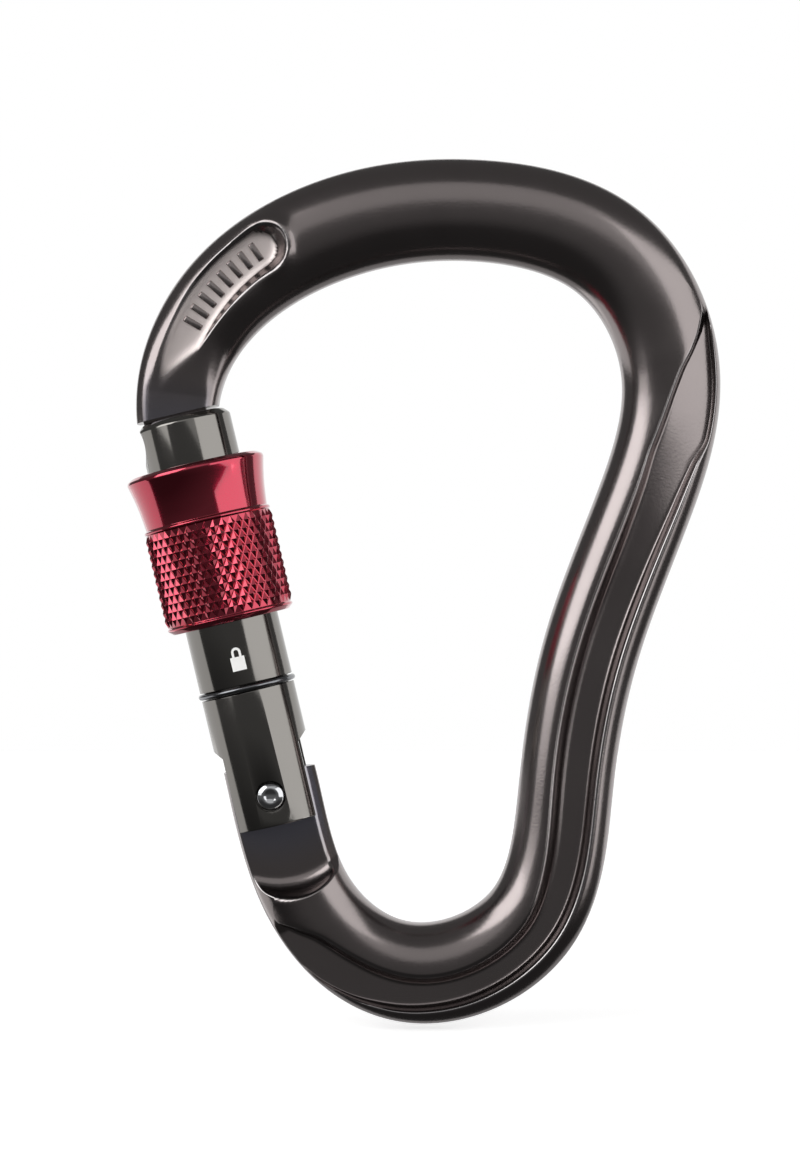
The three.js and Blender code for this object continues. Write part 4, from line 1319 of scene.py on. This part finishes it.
@dataclass
class ScrewSleeve:
    """The locking sleeve: a knurled grip below a plain flare, with a thread inside."""

    place: GatePlace
    sizes: SleeveSizes = SleeveSizes()

    def blank(self) -> bpy.types.Mesh:
        """The turned sleeve, its grip down to the bottom of the knurl."""
        z = self.sizes
        top = z.length / 2
        waist = top - z.flare_length
        root = z.grip - z.knurl_depth
        profile = eased([
            (z.bore + 0.5, -top, 0.12), (z.grip - 0.75, -top, 0.15), (z.grip - 0.1, -top + 0.55, 0.12),
            (z.grip - 0.1, -top + z.plain_band, 0.05), (root, -top + z.plain_band + 0.2, 0.05),
            (root, waist - 0.62, 0.05), (z.grip - 0.06, waist - 0.45, 0.05),
            (z.grip - 0.06, waist - 0.2, 0.12),
            (z.waist - 0.12, waist, 0.06),
            ((z.waist + z.flare) / 2 - z.flare_sag, waist + z.flare_length / 2, 2.0),
            (z.flare, top - 0.75, 0.15), (z.flare - 0.12, top - 0.42, 0.08),
            (z.flare - 0.75, top, 0.15), (z.nose_bore + 0.25, top, 0.12), (z.nose_bore, top - 0.3, 0.1),
            (z.nose_bore, top - z.nose_bore_depth, 0.1), (z.bore, top - z.nose_bore_depth - 0.6, 0.1),
            (z.bore, -z.ring_below + z.ring_room, 0.05), (z.ring_seat, -z.ring_below + z.ring_room, 0.05),
            (z.ring_seat, -z.ring_below - z.ring_room, 0.05), (z.bore, -z.ring_below - z.ring_room, 0.05),
            (z.bore, -top + 0.5, 0.1), (z.bore + 0.5, -top, 0.12),
        ], 4)
        inner = ridge(Thread(2.0, -1.6, 1.6, 5.7, 0.3, z.bore + 0.25, 0.9))
        return carved(turned(profile, 192), [(inner, Cut.JOIN)])

    def tree(self) -> bpy.types.NodeTree:
        """Node tree that covers the grip with staggered diamonds, each rising to a blunt point."""
        tree, given = new_tree("knurl_round_grip", {
            "Sleeve": "Geometry", "Columns": "Int", "Rows": "Int",
            "Foot": "Float", "Height": "Float", "Root": "Float",
            "Depth": "Float", "Blunt": "Float", "Finish": "Material",
        })
        index = add_node(tree, "GeometryNodeInputIndex").outputs[0]
        # each value's name, how it is worked out, and from what
        sums = (
            ("total", "MULTIPLY", "Columns", "Rows"), ("middle", "ADD", "index", 0.5),
            ("rows", "DIVIDE", "middle", "Columns"), ("row", "FLOOR", "rows", 0.0),
            ("before", "MULTIPLY", "row", "Columns"), ("column", "SUBTRACT", "index", "before"),
            ("odd", "MODULO", "row", 2.0), ("shift", "MULTIPLY", "odd", 0.5),
            ("place", "ADD", "column", "shift"), ("round", "MULTIPLY", "place", 2 * math.pi),
            ("turn", "DIVIDE", "round", "Columns"), ("gaps", "ADD", "Rows", 1.0),
            ("pitch", "DIVIDE", "Height", "gaps"), ("number", "ADD", "row", 1.0),
            ("climb", "MULTIPLY", "number", "pitch"), ("level", "ADD", "Foot", "climb"),
            ("cosine", "COSINE", "turn", 0.0), ("sine", "SINE", "turn", 0.0),
            ("x", "MULTIPLY", "cosine", "Root"), ("y", "MULTIPLY", "sine", "Root"),
            ("girth", "MULTIPLY", "Root", math.pi), ("half_wide", "DIVIDE", "girth", "Columns"),
            ("tall", "MULTIPLY", "Depth", 1.15), ("sunk", "MULTIPLY", "Depth", -0.15),
        )
        value = {**given, "index": index}
        for name, operation, first, second in sums:
            total = add_node(tree, "ShaderNodeMath", {"operation": operation}, {
                0: value.get(first, first), 1: value.get(second, second),
            })
            value[name] = total.outputs[0]
        cloud = add_node(tree, "GeometryNodePoints", inputs={"Count": value["total"]})
        radial = add_node(tree, "ShaderNodeCombineXYZ", inputs={"X": value["cosine"], "Y": value["sine"]})
        spot = add_node(tree, "ShaderNodeCombineXYZ", inputs={
            "X": value["x"], "Y": value["y"], "Z": value["level"],
        })
        points = add_node(tree, "GeometryNodeSetPosition", inputs={
            "Geometry": cloud.outputs[0], "Position": spot.outputs[0],
        })
        facing = add_node(tree, "FunctionNodeAxesToRotation", {"primary_axis": "Z", "secondary_axis": "Y"}, {
            "Primary Axis": radial.outputs[0], "Secondary Axis": (0.0, 0.0, 1.0),
        })
        blank = add_node(tree, "GeometryNodeMeshCone", {"fill_type": "NGON"}, {
            "Vertices": 4, "Radius Top": given["Blunt"], "Radius Bottom": 1.0, "Depth": 1.0,
        })
        scale = add_node(tree, "ShaderNodeCombineXYZ", inputs={
            "X": value["half_wide"], "Y": value["pitch"], "Z": value["tall"],
        })
        sink = add_node(tree, "ShaderNodeCombineXYZ", inputs={"Z": value["sunk"]})
        diamond = add_node(tree, "GeometryNodeTransform", inputs={
            "Geometry": blank.outputs["Mesh"], "Translation": sink.outputs[0], "Scale": scale.outputs[0],
        })
        copies = add_node(tree, "GeometryNodeInstanceOnPoints", inputs={
            "Points": points.outputs["Geometry"], "Instance": diamond.outputs["Geometry"],
            "Rotation": facing.outputs["Rotation"],
        })
        joined = add_node(tree, "GeometryNodeJoinGeometry")
        tree.links.new(copies.outputs["Instances"], joined.inputs[0])
        tree.links.new(given["Sleeve"], joined.inputs[0])
        real = add_node(tree, "GeometryNodeRealizeInstances", inputs={"Geometry": joined.outputs[0]})
        done = add_node(tree, "GeometryNodeSetMaterial", inputs={
            "Geometry": real.outputs["Geometry"], "Material": given["Finish"],
        })
        add_node(tree, "NodeGroupOutput", inputs={0: done.outputs["Geometry"]})
        return tree

    def make(self, material: bpy.types.Material) -> None:
        """Builds and dresses the sleeve."""
        z = self.sizes
        foot = -z.length / 2 + z.plain_band + 0.1
        mesh = grown(self.blank(), self.tree(), {
            "Columns": z.knurl_columns, "Rows": z.knurl_rows, "Foot": foot,
            "Height": z.length / 2 - z.flare_length - z.neck - foot, "Root": z.grip - z.knurl_depth,
            "Depth": z.knurl_depth, "Blunt": 0.1, "Finish": material,
        })
        mesh = placed(mesh, self.place.matrix(z.middle))
        finished("screw_sleeve", mesh, material, "sleeve", "lock_sleeve", crease=24)


# ---- Small pieces on the gate ----
@dataclass
class HingeRivet:
    """The steel rivet: two domed heads, dimpled by the setting punch."""

    place: GatePlace
    shank: float = 1.5
    head: float = 1.75
    head_height: float = 0.8
    reach: float = 6.0
    dimple: float = 0.75

    def make(self, material: bpy.types.Material) -> None:
        """Builds and dresses the rivet."""
        seat = self.reach - self.head_height
        half = [
            (self.shank, seat, 0), (self.head, seat, 0.05), (self.head, self.reach - 0.35, 0.3),
            (self.dimple + 0.25, self.reach + 0.02, 0.2), (self.dimple, self.reach - 0.05, 0.1),
            (0, self.reach - 0.32, 0),
        ]
        lower = [(r, -h, c) for r, h, c in reversed(half)]
        mesh = turned(eased([*lower, *half], 6), 64)
        mesh = placed(mesh, self.place.matrix() @ Matrix.Rotation(math.radians(90), 4, "X"))
        finished("pivot_rivet", mesh, material, "gate", "hinge_rivet", crease=60)


class WireShape(Enum):
    """What a bent wire forms."""

    RING = "ring"
    SPRING = "spring"


@dataclass
class BentWire:
    """A piece bent from round spring wire, in the gate's frame."""

    place: GatePlace
    shape: WireShape
    wire: float
    radius: float
    low: float
    high: float
    turns: float

    def tree(self) -> bpy.types.NodeTree:
        """Node tree that sweeps round wire along a spiral."""
        tree, given = new_tree(f"wire_{self.shape.value}", {
            "Seed": "Geometry", "Radius": "Float", "Wire": "Float",
            "Turns": "Float", "Low": "Float", "Rise": "Float",
            "Steps": "Int", "Finish": "Material",
        })
        spiral = add_node(tree, "GeometryNodeCurveSpiral", inputs={
            "Resolution": given["Steps"], "Rotations": given["Turns"], "Start Radius": given["Radius"],
            "End Radius": given["Radius"], "Height": given["Rise"],
        })
        lift = add_node(tree, "ShaderNodeCombineXYZ", inputs={"Z": given["Low"]})
        raised = add_node(tree, "GeometryNodeTransform", inputs={
            "Geometry": spiral.outputs["Curve"], "Translation": lift.outputs[0],
        })
        half = add_node(tree, "ShaderNodeMath", {"operation": "MULTIPLY"}, {0: given["Wire"], 1: 0.5})
        section = add_node(tree, "GeometryNodeCurvePrimitiveCircle", inputs={
            "Resolution": 12, "Radius": half.outputs[0],
        })
        swept = add_node(tree, "GeometryNodeCurveToMesh", inputs={
            "Curve": raised.outputs["Geometry"], "Profile Curve": section.outputs["Curve"],
            "Fill Caps": True,
        })
        done = add_node(tree, "GeometryNodeSetMaterial", inputs={
            "Geometry": swept.outputs["Mesh"], "Material": given["Finish"],
        })
        add_node(tree, "NodeGroupOutput", inputs={0: done.outputs["Geometry"]})
        return tree

    def build(self, material: bpy.types.Material) -> bpy.types.Mesh:
        """Makes the wire's mesh in its place."""
        mesh = grown(bpy.data.meshes.new("seed"), self.tree(), {
            "Radius": self.radius, "Wire": self.wire, "Turns": self.turns, "Low": self.low,
            "Rise": self.high - self.low, "Steps": 40 if self.turns > 1 else 96, "Finish": material,
        })
        return placed(outward(mesh), self.place.matrix())


@dataclass
class Plunger:
    """The plunger that rides on the tongue, with a pin inside the spring."""

    place: GatePlace
    foot: float = 3.8
    radius: float = 2.1
    length: float = 8.0
    tip: float = 1.26
    pin: float = 0.9
    pin_length: float = 2.0

    def make(self, material: bpy.types.Material) -> None:
        """Builds and dresses the plunger."""
        top = self.foot + self.length
        mesh = turned(eased([
            (0, self.foot, 0), (self.tip, self.foot, 0.3), (self.radius, self.foot + 0.6, 0.3),
            (self.radius, top, 0.15), (self.pin, top, 0.1), (self.pin, top + self.pin_length, 0.2),
            (0, top + self.pin_length, 0),
        ], 5), 64)
        mesh = placed(mesh, self.place.matrix())
        finished("tongue_plunger", mesh, material, "plunger", "spring_plunger")


@dataclass
class NylonRing:
    """The split nylon ring in the sleeve, which keeps it from drifting."""

    place: GatePlace
    middle: float = 26.67
    inner: float = 6.32
    outer: float = 6.98
    height: float = 1.2

    def make(self, material: bpy.types.Material) -> None:
        """Builds and dresses the ring."""
        low, high = -self.height / 2, self.height / 2
        corners = [
            (self.inner, low), (self.outer, low), (self.outer, high), (self.inner, high), (self.inner, low),
        ]
        mesh = turned(eased([(r, h, 0.14) for r, h in corners], 4), 96)
        mesh = placed(mesh, self.place.matrix(self.middle))
        finished("nylon_ring", mesh, material, "sleeve_carrier", "friction_ring")


@dataclass
class LockMark:
    """A plain closed-padlock mark printed on the front of the gate."""

    place: GatePlace
    barrel: float = 6.0
    height: float = 17.75
    wide: float = 1.8
    body: float = 1.75
    shackle: float = 0.6
    shackle_bar: float = 0.3
    ink: float = 0.02

    def sheet(self, grid: np.ndarray) -> tuple[np.ndarray, list[tuple[int, ...]]]:
        """Lays a grid of flat points on the barrel as a closed film of ink.

        Args:
            grid: points across and up the barrel, by row and column.

        Returns:
            Points and faces.
        """
        rows, columns = grid.shape[:2]
        layers = []
        for radius in (self.barrel - self.ink, self.barrel + self.ink):
            turn = grid[..., 0] / self.barrel
            layers.append(np.stack([radius * np.sin(turn), -radius * np.cos(turn), grid[..., 1]], axis=2))
        points = np.concatenate([layer.reshape(-1, 3) for layer in layers])
        size = rows * columns
        faces: list[tuple[int, ...]] = []
        for i in range(rows - 1):
            for j in range(columns - 1):
                a = i * columns + j
                quad = (a, a + 1, a + columns + 1, a + columns)
                faces += [quad, tuple(size + k for k in reversed(quad))]
        rim = [j for j in range(columns)] + [i * columns + columns - 1 for i in range(1, rows)]
        rim += [(rows - 1) * columns + j for j in range(columns - 2, -1, -1)]
        rim += [i * columns for i in range(rows - 2, 0, -1)]
        faces += [(a, b, b + size, a + size) for a, b in zip(rim, rim[1:] + rim[:1])]
        return points, faces

    def make(self, material: bpy.types.Material) -> None:
        """Builds and dresses the mark."""
        across = np.linspace(-self.wide / 2, self.wide / 2, 13)
        up = np.linspace(0, self.body, 5)
        body = np.stack(np.meshgrid(across, up), axis=2)
        turn = np.linspace(math.pi, 0, 25)
        bend = [self.shackle * np.stack([np.cos(turn), np.sin(turn)], axis=1),
                (self.shackle - self.shackle_bar) * np.stack([np.cos(turn), np.sin(turn)], axis=1)]
        arch = np.stack(bend) + np.array([0, self.body + 0.6])
        legs = np.stack([arch[:, :1] - [0, 0.65], arch[:, -1:] - [0, 0.65]])
        arch = np.concatenate([legs[0], arch, legs[1]], axis=1)
        points, faces = self.sheet(body)
        more, extra = self.sheet(arch)
        faces += [tuple(len(points) + k for k in face) for face in extra]
        mesh = outward(mesh_of(np.concatenate([points, more]), faces))
        mesh = placed(mesh, self.place.matrix(self.height - 1.5))
        finished("lock_mark", mesh, material, "gate")


# ---- The studio ----
@dataclass
class Studio:
    """Pale floor, white surround and large soft lights, with the camera in front."""

    middle: Vector
    floor_height: float
    distance: float = 0.38
    framed_height: float = 0.1473

    def camera(self) -> None:
        """Looks along +Y at the middle of the picture."""
        data = bpy.data.cameras.new("camera")
        data.sensor_width = 36
        data.lens = data.sensor_width * self.distance / self.framed_height
        data.clip_start = 0.01
        made = bpy.data.objects.new("camera", data)
        made.location = self.middle + Vector((0, -self.distance, 0))
        made.rotation_euler = (math.radians(90), 0, 0)
        bpy.context.scene.collection.objects.link(made)
        bpy.context.scene.camera = made

    def softbox(self, name: str, azimuth: float, elevation: float, away: float,
                size: tuple[float, float], brightness: float) -> None:
        """Hangs a rectangular soft light that faces the object.

        Args:
            name: its name.
            azimuth: degrees to the right of the camera, seen from the object.
            elevation: degrees above the object.
            away: distance in metres.
            size: width and height in metres.
            brightness: radiance, 1 for white.
        """
        data = bpy.data.lights.new(name, "AREA")
        data.shape = "RECTANGLE"
        data.size, data.size_y = size
        data.energy = brightness * math.pi * size[0] * size[1]
        made = bpy.data.objects.new(name, data)
        a, e = math.radians(azimuth), math.radians(elevation)
        towards = Vector((math.sin(a) * math.cos(e), -math.cos(a) * math.cos(e), math.sin(e)))
        made.location = self.middle + towards * away
        made.rotation_euler = towards.to_track_quat("Z", "Y").to_euler()
        made.visible_camera = False
        bpy.context.scene.collection.objects.link(made)

    def lights(self) -> None:
        """Places the lights round the object."""
        self.softbox("right_box", 57, 15, 0.8, (0.94, 0.68), 1.25)
        self.softbox("right_low_card", 78, -14, 0.8, (0.28, 0.26), 1.0)
        self.softbox("left_box", -53, 27, 0.8, (0.60, 0.48), 2.4)
        self.softbox("left_card", -57, 6, 0.82, (0.42, 0.20), 1.1)
        self.softbox("front_panel", 0, 30, 0.85, (0.74, 0.50), 0.38)
        self.softbox("backdrop", 166, 8, 0.8, (1.66, 0.75), 0.8)
        self.softbox("low_sweep", 180, -34, 0.8, (1.40, 0.50), 0.35)
        self.softbox("back_left_card", -119, -19, 0.8, (0.96, 0.48), 0.8)

    def surround(self) -> None:
        """White to the eye, dim grey in reflections, so that only the lights shine in metal."""
        world = bpy.data.worlds.new("surround")
        world.use_nodes = True
        tree = world.node_tree
        tree.nodes.clear()
        seen = add_node(tree, "ShaderNodeBackground", inputs={"Color": (1, 1, 1, 1), "Strength": 1.0})
        place = add_node(tree, "ShaderNodeTexCoord").outputs["Generated"]
        height = add_node(tree, "ShaderNodeSeparateXYZ", inputs={0: place}).outputs["Z"]
        shade = add_node(tree, "ShaderNodeMapRange", inputs={
            "Value": height, "From Min": -0.45, "From Max": -0.12, "To Min": 0.035, "To Max": 0.115,
        })
        dim = add_node(tree, "ShaderNodeBackground", inputs={
            "Color": (1, 1, 1, 1), "Strength": shade.outputs["Result"],
        })
        ray = add_node(tree, "ShaderNodeLightPath")
        mixed = add_node(tree, "ShaderNodeMixShader", inputs={
            0: ray.outputs["Is Camera Ray"], 1: dim.outputs[0], 2: seen.outputs[0],
        })
        add_node(tree, "ShaderNodeOutputWorld", inputs={"Surface": mixed.outputs[0]})
        bpy.context.scene.world = world

    def floor(self) -> None:
        """A large pale sheet under the object."""
        half = 0.6
        outline = [(-half, -half), (half, -half), (half, half), (-half, half)]
        mesh = mesh_of(np.array([(x, y, self.floor_height) for x, y in outline]), [(0, 1, 2, 3)])
        finish = Finish("white_paper_sheet", "#F4F4F4", 0.8, metallic=0.0)
        _, shader, _ = finish.start()
        shader.inputs["Emission Color"].default_value = (1, 1, 1, 1)
        shader.inputs["Emission Strength"].default_value = 0.7
        mesh.materials.append(bpy.data.materials["white_paper_sheet"])
        made = object_of("floor", mesh)
        made.visible_glossy = False
        made.visible_shadow = False

    def build(self) -> None:
        """Sets up the whole studio."""
        self.camera()
        self.lights()
        self.surround()
        self.floor()
        bpy.context.scene.view_settings.view_transform = "Standard"


def main() -> None:
    """Builds the carabiner piece by piece, then the studio."""
    logging.basicConfig(level=logging.INFO, format="%(message)s")
    place = GatePlace.from_record(frame["record"])
    forged = TumbledAnodising("hard_anodised_forging", "#938B8A", 0.21).material(place.texture_turn)
    turned_grey = TurnedAnodising("turned_grey_anodising", "#8C8985", 0.12).material(place.texture_turn)
    dyed_red = TurnedAnodising("dyed_red_anodising", "#C01E40", 0.13, coat=1.0).material(place.texture_turn)
    polished = BrightSteel("polished_rivet_steel", "#D6D7DA", 0.1).material()
    drawn = BrightSteel("drawn_spring_wire", "#8A8B8E", 0.2, scuff=0.3).material()
    nylon = DullPlastic("moulded_nylon", "#E9E5DA", 0.45, metallic=0.0).material()
    ink = DullPlastic("white_pad_ink", "#F4F4F2", 0.4, metallic=0.0).material()

    shape = ForgedFrame(place, BarPath())
    shape.make(forged)
    PanelBars(shape).make(forged)
    BarrelGate(place, shape).make(turned_grey)
    ScrewSleeve(place).make(dyed_red)
    HingeRivet(place).make(polished)
    ring = BentWire(place, WireShape.RING, wire=0.7, radius=5.95, low=13.9, high=13.9, turns=0.92)
    finished("wire_stop_ring", ring.build(drawn), drawn, "gate", "stop_ring")
    spring = BentWire(place, WireShape.SPRING, wire=0.6, radius=1.8, low=12.4, high=25.4, turns=8)
    coil = finished("closing_spring", spring.build(drawn), drawn, "gate", "gate_spring")
    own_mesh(coil)
    Plunger(place).make(polished)
    NylonRing(place).make(nylon)
    LockMark(place).make(ink)

    middle = Vector((-0.0064, 0, -0.0403))
    Studio(middle, CAD_BOX[0].z - 0.0006).build()


if __name__ == "__main__":
    main()
